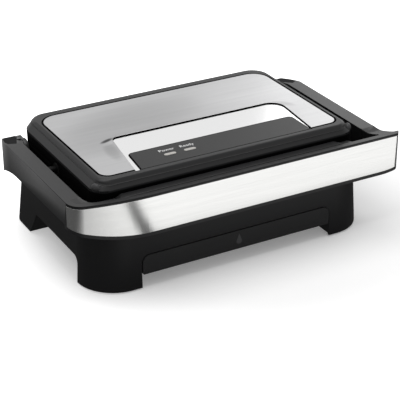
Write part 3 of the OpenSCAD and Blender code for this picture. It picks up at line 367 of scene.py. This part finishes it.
BASE_BLACK = moulded_plastic("base_black", (0.0075, 0.0075, 0.008), 0.42, 1.36)
FRAME_BLACK = moulded_plastic("frame_black", (0.012, 0.012, 0.0125), 0.34, 1.45)
LID_BLACK = moulded_plastic("lid_black", (0.0105, 0.0105, 0.011), 0.36, 1.4)
# Painted shade: the lid's wall goes near black lower down, for the dark gap beside the arms
LID_WALL_SHADE = painted_shade_plastic("lid_wall", (0.03, 0.03, 0.031), *LID_DARK)
# dark joints round the plate and panel, and painted shade in the gaps beside the arms
SEAM_AND_GAP_SHADE_BLACK = moulded_plastic("seam_and_gap_shade_black", (0.0008, 0.0008, 0.0008), MATT_ROUGHNESS, MATT_IOR)
# painted shade for the hollows at the arms' rear ends
HOLLOW_SHADE_BLACK = moulded_plastic("hollow_shade_black", (0.02, 0.02, 0.0205), MATT_ROUGHNESS, MATT_IOR)
# the frame's black painted a little lighter for the ledge: painted light
LEDGE_LIGHTENED_BLACK = moulded_plastic("ledge_lightened_black", (0.016, 0.016, 0.0165), 0.3, 1.42)
DOME_BLACK = moulded_plastic("dome_black", (0.034, 0.034, 0.035), 0.5, 1.42)
TRAY_BLACK = moulded_plastic("tray_black", (0.017, 0.017, 0.0175), 0.42, 1.38)
PANEL_GREY = moulded_plastic("panel_grey", (0.006, 0.006, 0.0062), 0.36, 1.4)
RUBBER = moulded_plastic("foot_rubber", (0.008, 0.008, 0.008), 0.8, 1.4)
INSULATOR = moulded_plastic("pale_insulator", (0.6, 0.56, 0.46), 0.6, 1.5)
BLACK_NYLON = moulded_plastic("bush_black", (0.003, 0.003, 0.003), 0.8, 1.3)
NYLON = moulded_plastic("bush_nylon", (0.62, 0.58, 0.46), 0.45, 1.5)
BOARD_GREEN = moulded_plastic("board_green", (0.015, 0.09, 0.035), 0.4, 1.5)
NON_STICK = moulded_plastic("non_stick", (0.016, 0.015, 0.0145), 0.5, 1.5, grain=0.35, patch=0.15)
LAMP_LENS = moulded_plastic("lamp_lens", (0.5, 0.485, 0.46), 0.35, 1.45)
LEGEND = moulded_plastic("legend_print", (0.8, 0.8, 0.8), 0.5, 1.45)
TRAY_MARK = moulded_plastic("tray_mark", (0.05, 0.05, 0.051), 0.5, 1.4)
# the top plate carries painted shade and highlight spots
BRUSHED_PLATE = brushed_metal("brushed_plate", (0.58, 0.58, 0.585), 0.3, 0.3, 0.12, painted_shade=True)
BAND_STEEL = brushed_metal("band_steel", (0.9, 0.9, 0.885), 0.16, 0.22, 0.1)
POLISHED = bare_metal("polished_strip", (1.0, 1.0, 1.0), 0.13, 0.01)
DARK_STEEL = bare_metal("dark_steel", (0.01, 0.01, 0.01), 0.5, 0.15)
ZINC = bare_metal("zinc_steel", (0.6, 0.6, 0.58), 0.32, 0.15)
BRACKET_STEEL = bare_metal("bracket_steel", (0.45, 0.45, 0.44), 0.4, 0.2)
PAN_STEEL = bare_metal("bright_steel", (0.66, 0.66, 0.65), 0.25, 0.15)
ELEMENT_STEEL = bare_metal("element_steel", (0.16, 0.15, 0.145), 0.45, 0.25)

FINISH_OF_SLOT = {
    "base_black": BASE_BLACK,
    "frame_black": FRAME_BLACK,
    "lid_black": LID_BLACK,
    "tray_black": TRAY_BLACK,
    "rubber": RUBBER,
    "bright_steel": PAN_STEEL,
    "element_steel": ELEMENT_STEEL,
    "non_stick": NON_STICK,
    "zinc_steel": ZINC,
    "bracket_steel": BRACKET_STEEL,
    "pale_insulator": INSULATOR,
    "band_steel": BAND_STEEL,
    "brushed_plate": BRUSHED_PLATE,
    "polished_strip": POLISHED,
    "panel_grey": PANEL_GREY,
    "lamp_lens": LAMP_LENS,
    "board_green": BOARD_GREEN,
    "bush_nylon": NYLON,
    "bush_black": BLACK_NYLON,
    "dark_steel": DARK_STEEL,
}


# ---- pieces made from the CAD's own solids ----

BODY_OF_NODE = {}
for body_name, node_names in frame["record"]["behaviour"]["bodies"].items():
    for node_name in node_names:
        BODY_OF_NODE[node_name] = body_name
SLOT_OF_NODE = {row["node"]: row["material_slot"] for row in frame["record"]["subparts"]}

# Width in millimetres of the rounding on the pieces whose edges show; the ribbed plates stay crisp,
# because rounding spoils the shading of the floor between their ribs
EDGE_ROUNDING = {
    "base_bezel": 0.8,
    "drip_tray": 0.6,
    "handle_frame": 0.35,
    "handle_trim": 0.25,
    "hinge_cap_left": 0.8,
    "hinge_cap_right": 0.8,
    "lid_shell": 0.9,
    "lid_top_plate": 0.45,
    "lid_inlay": 0.2,
    "control_panel": 0.5,
    "power_lamp": 0.35,
    "ready_lamp": 0.35,
    "cable_inlet": 0.8,
    "rubber_feet": 0.5,
}
BASE_NODES = (
    "base_housing",
    "front_leg_left",
    "front_leg_right",
    "rear_leg_left",
    "rear_leg_right",
    "side_skirt_left",
    "side_skirt_right",
)
BASE_ROUNDING = 0.9
FULLY_ROUNDED = ("lid_shell",)  # its rounding isn't held back by the shortest edges
BEVEL_SEGMENTS = 3
MERGE_DISTANCE = 0.004 * MM
FLAT_ANGLE = math.radians(0.6)
BEVEL_ANGLE = math.radians(32)
SMOOTH_ANGLE = math.radians(34)
TOP_NEAR = 0.1 * MM
# Upward share of a face's normal: least for a level face, least for one on top, most for a wall
LEVEL = 0.99
ON_TOP = 0.9
UPRIGHT = 0.5


def linked_object(name, data):
    """A new object with this data, in the scene's collection."""
    piece = bpy.data.objects.new(name, data)
    bpy.context.scene.collection.objects.link(piece)
    return piece


def mesh_of(form, name):
    """A new mesh with the bmesh's shape, which is used up."""
    mesh = bpy.data.meshes.new(name)
    form.to_mesh(mesh)
    form.free()
    return mesh


def tidied(mesh):
    """Joins loose triangles and makes flat areas whole, in place."""
    form = bmesh.new()
    form.from_mesh(mesh)
    bmesh.ops.remove_doubles(form, verts=form.verts, dist=MERGE_DISTANCE)
    bmesh.ops.dissolve_limit(
        form, angle_limit=FLAT_ANGLE, verts=form.verts, edges=form.edges, use_dissolve_boundaries=False
    )
    form.to_mesh(mesh)
    form.free()
    mesh.materials.clear()
    return mesh


def merged_copy(node_name):
    """A new mesh with the node's shape."""
    return tidied(frame["nodes"][node_name].data.copy())


def united(node_names):
    """One mesh for nodes that meet without a seam."""
    whole = linked_object("union_main", merged_copy(node_names[0]))
    others = [linked_object("union_other", merged_copy(name)) for name in node_names[1:]]
    for other in others:
        union = whole.modifiers.new("union", "BOOLEAN")
        union.operation = "UNION"
        union.solver = "EXACT"
        union.object = other
    graph = bpy.context.evaluated_depsgraph_get()
    mesh = bpy.data.meshes.new_from_object(whole.evaluated_get(graph))
    for part in (whole, *others):
        bpy.data.objects.remove(part)
    return tidied(mesh)


def rounded_piece(name, mesh, width, node_names):
    """A piece that stands for the nodes, with rounded edges and smooth curves; width in millimetres."""
    main_node = node_names[0]
    piece = linked_object(name, mesh)
    mesh.materials.append(FINISH_OF_SLOT[SLOT_OF_NODE[main_node]])
    mesh.shade_smooth()
    mesh.set_sharp_from_angle(angle=SMOOTH_ANGLE)
    bevel = piece.modifiers.new("edges", "BEVEL")
    bevel.width = width * MM
    bevel.segments = BEVEL_SEGMENTS
    bevel.limit_method = "ANGLE"
    bevel.angle_limit = BEVEL_ANGLE
    bevel.miter_outer = "MITER_ARC"
    bevel.use_clamp_overlap = main_node not in FULLY_ROUNDED
    weighted = piece.modifiers.new("flat_faces_lead", "WEIGHTED_NORMAL")
    weighted.mode = "FACE_AREA"
    weighted.keep_sharp = False
    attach(piece, BODY_OF_NODE[main_node])
    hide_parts(*node_names)
    return piece


def with_modifiers_applied(piece):
    """Makes the piece's rounded form its own mesh, so that its faces can be painted."""
    graph = bpy.context.evaluated_depsgraph_get()
    piece.data = bpy.data.meshes.new_from_object(piece.evaluated_get(graph))
    piece.modifiers.clear()
    return piece


def painted(mesh, material, wanted):
    """Gives the material to each face whose middle and normal are wanted."""
    mesh.materials.append(material)
    index = len(mesh.materials) - 1
    for face in mesh.polygons:
        if wanted(face.center, face.normal):
            face.material_index = index


def outside_plate(place):
    """How far the place lies outside the top plate's opening, seen from above; negative inside."""
    middle_y = (PLATE_REAR - PLATE_FRONT) / 2
    half_x = PLATE_WIDTH / 2
    half_y = (PLATE_REAR + PLATE_FRONT) / 2
    radius = PLATE_REAR_RADIUS if place.y > middle_y else PLATE_FRONT_RADIUS
    x = abs(place.x - CENTRE_X) - half_x + radius
    y = abs(place.y - middle_y) - half_y + radius
    return math.hypot(max(x, 0), max(y, 0)) + min(max(x, y), 0) - radius


def lower_front_step(mesh):
    """In front, the line under the lid's rim lies lower than at the sides."""
    for vertex in mesh.vertices:
        if abs(vertex.co.z - STEP_Z) < STEP_NEAR and vertex.co.y < -STEP_FADE[0]:
            share = min((-vertex.co.y - STEP_FADE[0]) / (STEP_FADE[1] - STEP_FADE[0]), 1)
            vertex.co.z -= STEP_DROP * share
            vertex.co.y -= STEP_FORWARD * STEP_DROP * share


def edged_copy(node_name, top, width):
    """A copy of the node whose top face, at that height, has a narrow border of its own."""
    mesh = merged_copy(node_name)
    form = bmesh.new()
    form.from_mesh(mesh)
    faces = []
    for face in form.faces:
        height = face.calc_center_median().z
        if face.normal.z > LEVEL and abs(height - top) < TOP_NEAR:
            faces.append(face)
    bmesh.ops.inset_region(form, faces=faces, thickness=width, use_even_offset=True)
    form.to_mesh(mesh)
    form.free()
    return mesh


def solid_piece(node_name, mesh):
    """The node's rounded piece with its rounding made part of its mesh."""
    piece = rounded_piece(node_name + "_finished", mesh, EDGE_ROUNDING[node_name], [node_name])
    return with_modifiers_applied(piece)


def on_lid_wall(place, normal):
    """Whether a face of the shell belongs to its upright wall, below the shoulder."""
    return place.z < LID_SHOULDER and abs(normal.z) < UPRIGHT


def in_plate_seam(place, normal):
    """Whether a face of the shell lies in the seam round the top plate, or under the plate."""
    outside = outside_plate(place)
    under_plate = outside < 0 and place.z < PLATE_TOP - SEAM_DEPTH
    return place.z > SEAM_LOW and (under_plate or abs(outside) < SEAM_REACH)


def on_plate_edge(place, normal):
    """Whether a face of the top plate belongs to its edge."""
    return normal.z < ON_TOP or outside_plate(place) > -SEAM_SPARE - SEAM_LINE


def on_panel_edge(place, normal):
    """Whether a face of the panel belongs to its left, right or rear edge."""
    if place.y < PANEL_FRONT:
        return False
    if normal.z < ON_TOP:
        return True
    x = place.x - CENTRE_X
    left = -PANEL_LEFT + PANEL_LEAN * (place.y - PANEL_FRONT)
    at_left = x < left + PANEL_SIDE_EDGE
    at_right = x > PANEL_RIGHT - PANEL_SIDE_EDGE
    at_rear = place.y > PANEL_REAR - PANEL_REAR_EDGE
    return at_left or at_right or at_rear


def finish_plain_node(node_name):
    """A node that keeps its own mesh gets its finish."""
    node = frame["nodes"][node_name]
    node.data.materials.clear()
    node.data.materials.append(FINISH_OF_SLOT[SLOT_OF_NODE[node_name]])


def finish_lid_shell():
    """The shell, with painted shade darkening its wall in the gap and a black seam round the top plate.
    """
    mesh = merged_copy("lid_shell")
    lower_front_step(mesh)
    shell = solid_piece("lid_shell", mesh)
    # painted shade on the wall below the shoulder
    painted(shell.data, LID_WALL_SHADE, on_lid_wall)
    painted(shell.data, SEAM_AND_GAP_SHADE_BLACK, in_plate_seam)


def finish_top_plate():
    """The plate, with its outer edge dark where it goes down into the seam."""
    plate = solid_piece("lid_top_plate", edged_copy("lid_top_plate", PLATE_TOP, SEAM_LINE))
    painted(plate.data, SEAM_AND_GAP_SHADE_BLACK, on_plate_edge)


def finish_control_panel():
    """The panel, with its side and rear edges dark."""
    panel = solid_piece("control_panel", edged_copy("control_panel", PANEL_TOP, PANEL_LINE))
    painted(panel.data, SEAM_AND_GAP_SHADE_BLACK, on_panel_edge)


SPECIAL_PIECES = {
    "lid_shell": finish_lid_shell,
    "lid_top_plate": finish_top_plate,
    "control_panel": finish_control_panel,
}

for name in BODY_OF_NODE:
    if name in SPECIAL_PIECES:
        SPECIAL_PIECES[name]()
    elif name in EDGE_ROUNDING:
        rounded_piece(name + "_finished", merged_copy(name), EDGE_ROUNDING[name], [name])
    elif name not in BASE_NODES:
        finish_plain_node(name)
rounded_piece("base_finished", united(BASE_NODES), BASE_ROUNDING, BASE_NODES)


# ---- small forms the CAD leaves plain; numbers in millimetres ----

LEDGE_LOW = (-142, -98.6, 98.2)
LEDGE_HIGH = (121, -89.6, 100.9)
LEDGE_ROUNDING = 0.4
LEDGE_END_SLOPE = 6

# Near-black strips under the lid's side walls, painted shade for the dark gap beside each arm: name and
# left face
APRONS = (("side_apron_left", -155.9), ("side_apron_right", 138.5))
APRON_THICKNESS = 1.4
APRON_Y = (18, 72.5)
APRON_Z = (82.2, 92)
APRON_ROUNDING = 0.2

# A dark sheet of painted shade for the hollow in an arm's sloping rear end: its outline from the lid's
# middle, on the right side
HOLLOW_OUTLINE = (
    (173.2, 76),
    (172.9, 67),
    (165.5, 62),
    (161, 73),
    (155.8, 86),
    (157, 91.8),
    (169.0, 91.8),
    (170.6, 87),
)
HOLLOW_LIFTS = (-0.3, 0.06)  # the sheet's two faces, from the arm's top
ARM_TOP_Z = 101
ARM_SLOPE_Y = 62
ARM_SLOPE = 0.1871

DOME_PLACE = (142.6, -78.1, 106.4)  # from the lid's middle, on the right side
DOME_HALF = (3.6, 5.2, 4.7)
DOME_TURN = math.radians(30)

SIDES = (("left", -1), ("right", 1))


def add_mesh_piece(name, mesh, material, body):
    """A piece of this material that rides on the body."""
    piece = linked_object(name, mesh)
    mesh.materials.clear()
    mesh.materials.append(material)
    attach(piece, body)


def block(name, low, high, rounding, end_slope=0.0):
    """A rounded block's mesh between two corners, with its ends drawn in by about the end slope towards
    its top, and again towards its back."""
    form = bmesh.new()
    bmesh.ops.create_cube(form, size=1.0)
    drawn_in = 1 - 2 * end_slope / (high[0] - low[0])
    for vertex in form.verts:
        if vertex.co.z > 0:
            vertex.co.x *= drawn_in
        if vertex.co.y > 0:
            vertex.co.x *= drawn_in
        for axis in range(3):
            share = vertex.co[axis] + 0.5
            vertex.co[axis] = (low[axis] + (high[axis] - low[axis]) * share) * MM
    bmesh.ops.bevel(
        form,
        geom=form.edges[:],
        offset=rounding * MM,
        segments=BEVEL_SEGMENTS,
        profile=0.5,
        affect="EDGES",
    )
    return mesh_of(form, name)


def front_ledge():
    """The low raised strip on the bar's top, behind the steel band; its black is painted a little
    lighter than the frame's, as painted light.
    """
    mesh = block("front_ledge", LEDGE_LOW, LEDGE_HIGH, LEDGE_ROUNDING, LEDGE_END_SLOPE)
    add_mesh_piece("front_ledge", mesh, LEDGE_LIGHTENED_BLACK, "handle")


def side_gap_shade_strip(name, left_face):
    """A near-black strip that carries the lid's side wall further down into the gap beside the arm, as
    painted shade for that gap.
    """
    low = (left_face, APRON_Y[0], APRON_Z[0])
    high = (left_face + APRON_THICKNESS, APRON_Y[1], APRON_Z[1])
    # near-black: painted shade for the gap
    add_mesh_piece(name, block(name, low, high, APRON_ROUNDING), SEAM_AND_GAP_SHADE_BLACK, "lid")


def arm_hollow_shade(name, side):
    """A thin dark sheet on the sloping rear end of an arm's top: painted shade for the hollow there."""
    form = bmesh.new()
    rings = []
    for lift in HOLLOW_LIFTS:
        ring = []
        for x, y in HOLLOW_OUTLINE:
            z = ARM_TOP_Z - (y - ARM_SLOPE_Y) * ARM_SLOPE + lift
            ring.append(form.verts.new((CENTRE_X + side * x * MM, y * MM, z * MM)))
        form.faces.new(ring)
        rings.append(ring)
    count = len(HOLLOW_OUTLINE)
    for i in range(count):
        j = (i + 1) % count
        form.faces.new((rings[0][i], rings[0][j], rings[1][j], rings[1][i]))
    bmesh.ops.recalc_face_normals(form, faces=form.faces)
    add_mesh_piece(name, mesh_of(form, name), HOLLOW_SHADE_BLACK, "handle")


def corner_dome(name, side):
    """The soft round end of the boss on one of the lid's front corners."""
    form = bmesh.new()
    bmesh.ops.create_uvsphere(form, u_segments=40, v_segments=20, radius=1.0)
    size = Matrix.Diagonal((*(half * MM for half in DOME_HALF), 1.0))
    turn = Matrix.Rotation(-DOME_TURN * side, 4, "Z")
    x, y, z = DOME_PLACE
    place = Vector((CENTRE_X + side * x * MM, y * MM, z * MM))
    form.transform(Matrix.Translation(place) @ turn @ size)
    mesh = mesh_of(form, name)
    mesh.shade_smooth()
    add_mesh_piece(name, mesh, DOME_BLACK, "lid")


front_ledge()
for word, side in SIDES:
    arm_hollow_shade("arm_hollow_shade_" + word, side)
for name, left_face in APRONS:
    side_gap_shade_strip(name, left_face)
for word, side in SIDES:
    corner_dome("corner_dome_" + word, side)


# ---- marks ----

# Each word over the lamps, with the place of its lamp and its shift from it
LEGENDS = (("Power", LAMP_X[0], 0.6 * MM), ("Ready", LAMP_X[1], 1.2 * MM))
LEGEND_Y = LAMP_Y + 9.6 * MM
LEGEND_SIZE = 6.4 * MM
LEGEND_HEIGHT = 0.03 * MM
LEGEND_BOLDNESS = 0.05 * MM

DROP_RADIUS = 3.2 * MM
DROP_TIP = 8.4 * MM  # above the middle of its round part
DROP_SINK = 2 * MM
DROP_ARC = (math.radians(-220), math.radians(260))  # start and length of its round part
DROP_STEPS = 28
DROP_PROUD = 0.15 * MM
DROP_THICKNESS = 0.4 * MM


def legend(word, centre):
    """A printed word lying flat on the panel, its middle at centre."""
    curve = bpy.data.curves.new("legend_" + word.lower(), "FONT")
    curve.body = word
    curve.size = LEGEND_SIZE
    curve.align_x = "CENTER"
    curve.align_y = "CENTER"
    curve.extrude = LEGEND_HEIGHT
    curve.offset = LEGEND_BOLDNESS
    text = linked_object("legend_text", curve)
    graph = bpy.context.evaluated_depsgraph_get()
    mesh = bpy.data.meshes.new_from_object(text.evaluated_get(graph))
    bpy.data.objects.remove(text)
    mesh.transform(Matrix.Translation(centre))
    add_mesh_piece("legend_" + word.lower(), mesh, LEGEND, "lid")


def drop_mark():
    """A raised drop on the middle of the tray's front."""
    outline = []
    for index in range(DROP_STEPS + 1):
        angle = DROP_ARC[0] + DROP_ARC[1] * index / DROP_STEPS
        outline.append((DROP_RADIUS * math.cos(angle), DROP_RADIUS * math.sin(angle)))
    outline.append((0.0, DROP_TIP))
    form = bmesh.new()
    ring = []
    for x, z in outline:
        place = (CENTRE_X + x, TRAY_FRONT_Y - DROP_PROUD, TRAY_MARK_Z - DROP_SINK + z)
        ring.append(form.verts.new(place))
    face = form.faces.new(ring)
    depth = bmesh.ops.extrude_face_region(form, geom=[face])
    back = [v for v in depth["geom"] if isinstance(v, bmesh.types.BMVert)]
    bmesh.ops.translate(form, verts=back, vec=(0, DROP_THICKNESS, 0))
    bmesh.ops.recalc_face_normals(form, faces=form.faces)
    mesh = mesh_of(form, "tray_drop_mark")
    add_mesh_piece("tray_drop_mark", mesh, TRAY_MARK, "tray")


for word, lamp_x, shift in LEGENDS:
    legend(word, Vector((lamp_x + shift, LEGEND_Y, PANEL_TOP)))
drop_mark()


# ---- floor, light and camera ----

FLOOR_HALF = 6.0
FLOOR_Z = -0.0005
FLOOR_SHADE = 0.92
FLOOR_ROUGHNESS = 0.9
FLOOR_IOR = 1.1
FLOOR_GLOW_CENTRE = (0.06, -0.03, 0.0)
FLOOR_GLOW_NEAR = 0.16  # metres from that point
FLOOR_GLOW_FAR = 0.36
FLOOR_GLOW_LOW = 0.2
# What shiny parts see of the sheet, a painted reflection: dark near the grill, as if beside black
# cards, and white further off
MIRRORED_LOW = 0.085
MIRRORED_HIGH = 0.95
MIRRORED_FRONT = (-0.207, -0.188)  # metres; white in front of the first, dark behind the second
MIRRORED_BACK = (0.15, 0.36)
MIRRORED_BACK_SHARE = 0.6
MIRRORED_LEFT = (-0.34, -0.03)
MIRRORED_TURN = -0.2  # left of this the sheet's edge turns forward
MIRRORED_TURN_SLOPE = 0.5
REFLECTED_STRIPE_X = -0.067  # a narrow dark stripe painted into the sheet as shiny parts see it, in front and to the left: a painted reflection in the band
REFLECTED_STRIPE_Y = -0.208
REFLECTED_STRIPE_SLOPE = 0.083
REFLECTED_STRIPE_HALF = (0.006, 0.02)
WORLD_LIGHT = 0.42


def see_white(tree, plain_output):
    """Camera, glossy and transmission rays see an even white where plain_output lights the scene."""
    path = tree.nodes.new("ShaderNodeLightPath")
    seen = math_node(tree, "MAXIMUM", path.outputs["Is Camera Ray"], path.outputs["Is Glossy Ray"])
    seen = math_node(tree, "MAXIMUM", seen, path.outputs["Is Transmission Ray"])
    white = tree.nodes.new("ShaderNodeBackground")
    white.inputs["Strength"].default_value = 1.0
    mix = tree.nodes.new("ShaderNodeMixShader")
    tree.links.new(seen, mix.inputs[0])
    tree.links.new(plain_output, mix.inputs[1])
    tree.links.new(white.outputs[0], mix.inputs[2])
    return mix.outputs[0]


def make_world():
    """Even light from all round, and a white background."""
    world = bpy.data.worlds.new("studio")
    bpy.context.scene.world = world
    world.use_nodes = True
    tree = world.node_tree
    background = tree.nodes["Background"]
    background.inputs["Color"].default_value = (1, 1, 1, 1)
    background.inputs["Strength"].default_value = WORLD_LIGHT
    output = tree.nodes["World Output"]
    tree.links.new(see_white(tree, background.outputs[0]), output.inputs["Surface"])


def emission(tree, strength):
    """An Emission shader of that strength."""
    node = tree.nodes.new("ShaderNodeEmission")
    tree.links.new(strength, node.inputs["Strength"])
    return node.outputs[0]


def mirrored_sheet(tree, x, y):
    """How bright the sheet looks in shiny parts, at x and y: a painted reflection, dark near the grill
    and with a dark stripe.
    """
    beyond = math_node(tree, "MINIMUM", math_node(tree, "SUBTRACT", x, MIRRORED_TURN), 0.0)
    turned = math_node(tree, "ADD", y, math_node(tree, "MULTIPLY", beyond, MIRRORED_TURN_SLOPE))
    front = ramp_value(tree, turned, *MIRRORED_FRONT, MIRRORED_HIGH, 0.0)
    front = math_node(tree, "MULTIPLY", front, ramp_value(tree, x, *MIRRORED_LEFT, 0.0, 1.0))
    back = ramp_value(tree, y, *MIRRORED_BACK, 0.0, MIRRORED_BACK_SHARE)
    # painted reflection: a narrow dark stripe in what shiny parts see
    stripe = math_node(tree, "MULTIPLY", math_node(tree, "SUBTRACT", y, REFLECTED_STRIPE_Y), REFLECTED_STRIPE_SLOPE)
    stripe = math_node(tree, "ADD", stripe, REFLECTED_STRIPE_X)
    off_stripe = math_node(tree, "ABSOLUTE", math_node(tree, "SUBTRACT", x, stripe))
    front = math_node(tree, "MULTIPLY", front, ramp_value(tree, off_stripe, *REFLECTED_STRIPE_HALF, 0.0, 1.0))
    return math_node(tree, "ADD", math_node(tree, "ADD", front, back), MIRRORED_LOW)


def floor_material():
    """Plain and pale to light, so that it keeps the shadow; to the camera it also glows white away from
    the grill, and in shiny parts it shows as the mirrored sheet."""
    material, tree, shader = plain_material(
        "floor_white", (FLOOR_SHADE,) * 3, FLOOR_ROUGHNESS, ior=FLOOR_IOR
    )
    path = tree.nodes.new("ShaderNodeLightPath")
    place = object_vector(tree)
    far_off = tree.nodes.new("ShaderNodeVectorMath")
    far_off.operation = "DISTANCE"
    far_off.inputs[1].default_value = FLOOR_GLOW_CENTRE
    tree.links.new(place, far_off.inputs[0])
    split = tree.nodes.new("ShaderNodeSeparateXYZ")
    tree.links.new(place, split.inputs[0])
    distance = far_off.outputs["Value"]
    glow = ramp_value(tree, distance, FLOOR_GLOW_NEAR, FLOOR_GLOW_FAR, FLOOR_GLOW_LOW, 1.0)
    seen = math_node(tree, "MULTIPLY", path.outputs["Is Camera Ray"], glow)
    lit = tree.nodes.new("ShaderNodeAddShader")
    tree.links.new(shader.outputs[0], lit.inputs[0])
    tree.links.new(emission(tree, seen), lit.inputs[1])
    mirrored = mirrored_sheet(tree, split.outputs["X"], split.outputs["Y"])
    mix = tree.nodes.new("ShaderNodeMixShader")
    tree.links.new(path.outputs["Is Glossy Ray"], mix.inputs[0])
    tree.links.new(lit.outputs[0], mix.inputs[1])
    tree.links.new(emission(tree, mirrored), mix.inputs[2])
    tree.links.new(mix.outputs[0], tree.nodes["Material Output"].inputs["Surface"])
    return material


def make_floor():
    """The flat sheet that the grill stands on."""
    mesh = bpy.data.meshes.new("floor")
    h = FLOOR_HALF
    corners = [(-h, -h, FLOOR_Z), (h, -h, FLOOR_Z), (h, h, FLOOR_Z), (-h, h, FLOOR_Z)]
    mesh.from_pydata(corners, [], [(0, 1, 2, 3)])
    floor = linked_object("floor", mesh)
    mesh.materials.append(floor_material())


def area_light(name, place, aim, size, power):
    """A rectangular lamp at place, turned to aim."""
    light = bpy.data.lights.new(name, "AREA")
    light.shape = "RECTANGLE"
    light.size, light.size_y = size
    light.energy = power
    lamp = linked_object(name, light)
    lamp.location = place
    lamp.rotation_mode = "QUATERNION"
    lamp.rotation_quaternion = (Vector(aim) - Vector(place)).to_track_quat("-Z", "Y")


def make_camera():
    """The camera, placed from its target, direction and distance."""
    data = bpy.data.cameras.new("camera")
    data.lens = CAMERA_LENS
    data.shift_y = CAMERA_SHIFT_Y
    data.clip_start = 0.01
    data.clip_end = 50
    camera = linked_object("camera", data)
    level = math.cos(CAMERA_ELEVATION)
    right = math.sin(CAMERA_AZIMUTH) * level
    back = math.cos(CAMERA_AZIMUTH) * level
    forward = Vector((right, back, -math.sin(CAMERA_ELEVATION)))
    camera.location = CAMERA_TARGET - forward * CAMERA_DISTANCE
    turn = forward.to_track_quat("-Z", "Y").to_matrix() @ Matrix.Rotation(CAMERA_ROLL, 3, "Z")
    camera.rotation_mode = "QUATERNION"
    camera.rotation_quaternion = turn.to_quaternion()
    bpy.context.scene.camera = camera


make_world()
make_floor()
area_light("overhead", place=(0.0, 0.2, 1.7), aim=(0, 0, 0.05), size=(1.8, 1.4), power=17)
area_light("back_right", place=(1.15, 0.85, 0.62), aim=(0.05, 0, 0.1), size=(0.9, 0.7), power=1.5)
make_camera()

bpy.context.scene.view_settings.view_transform = "Standard"
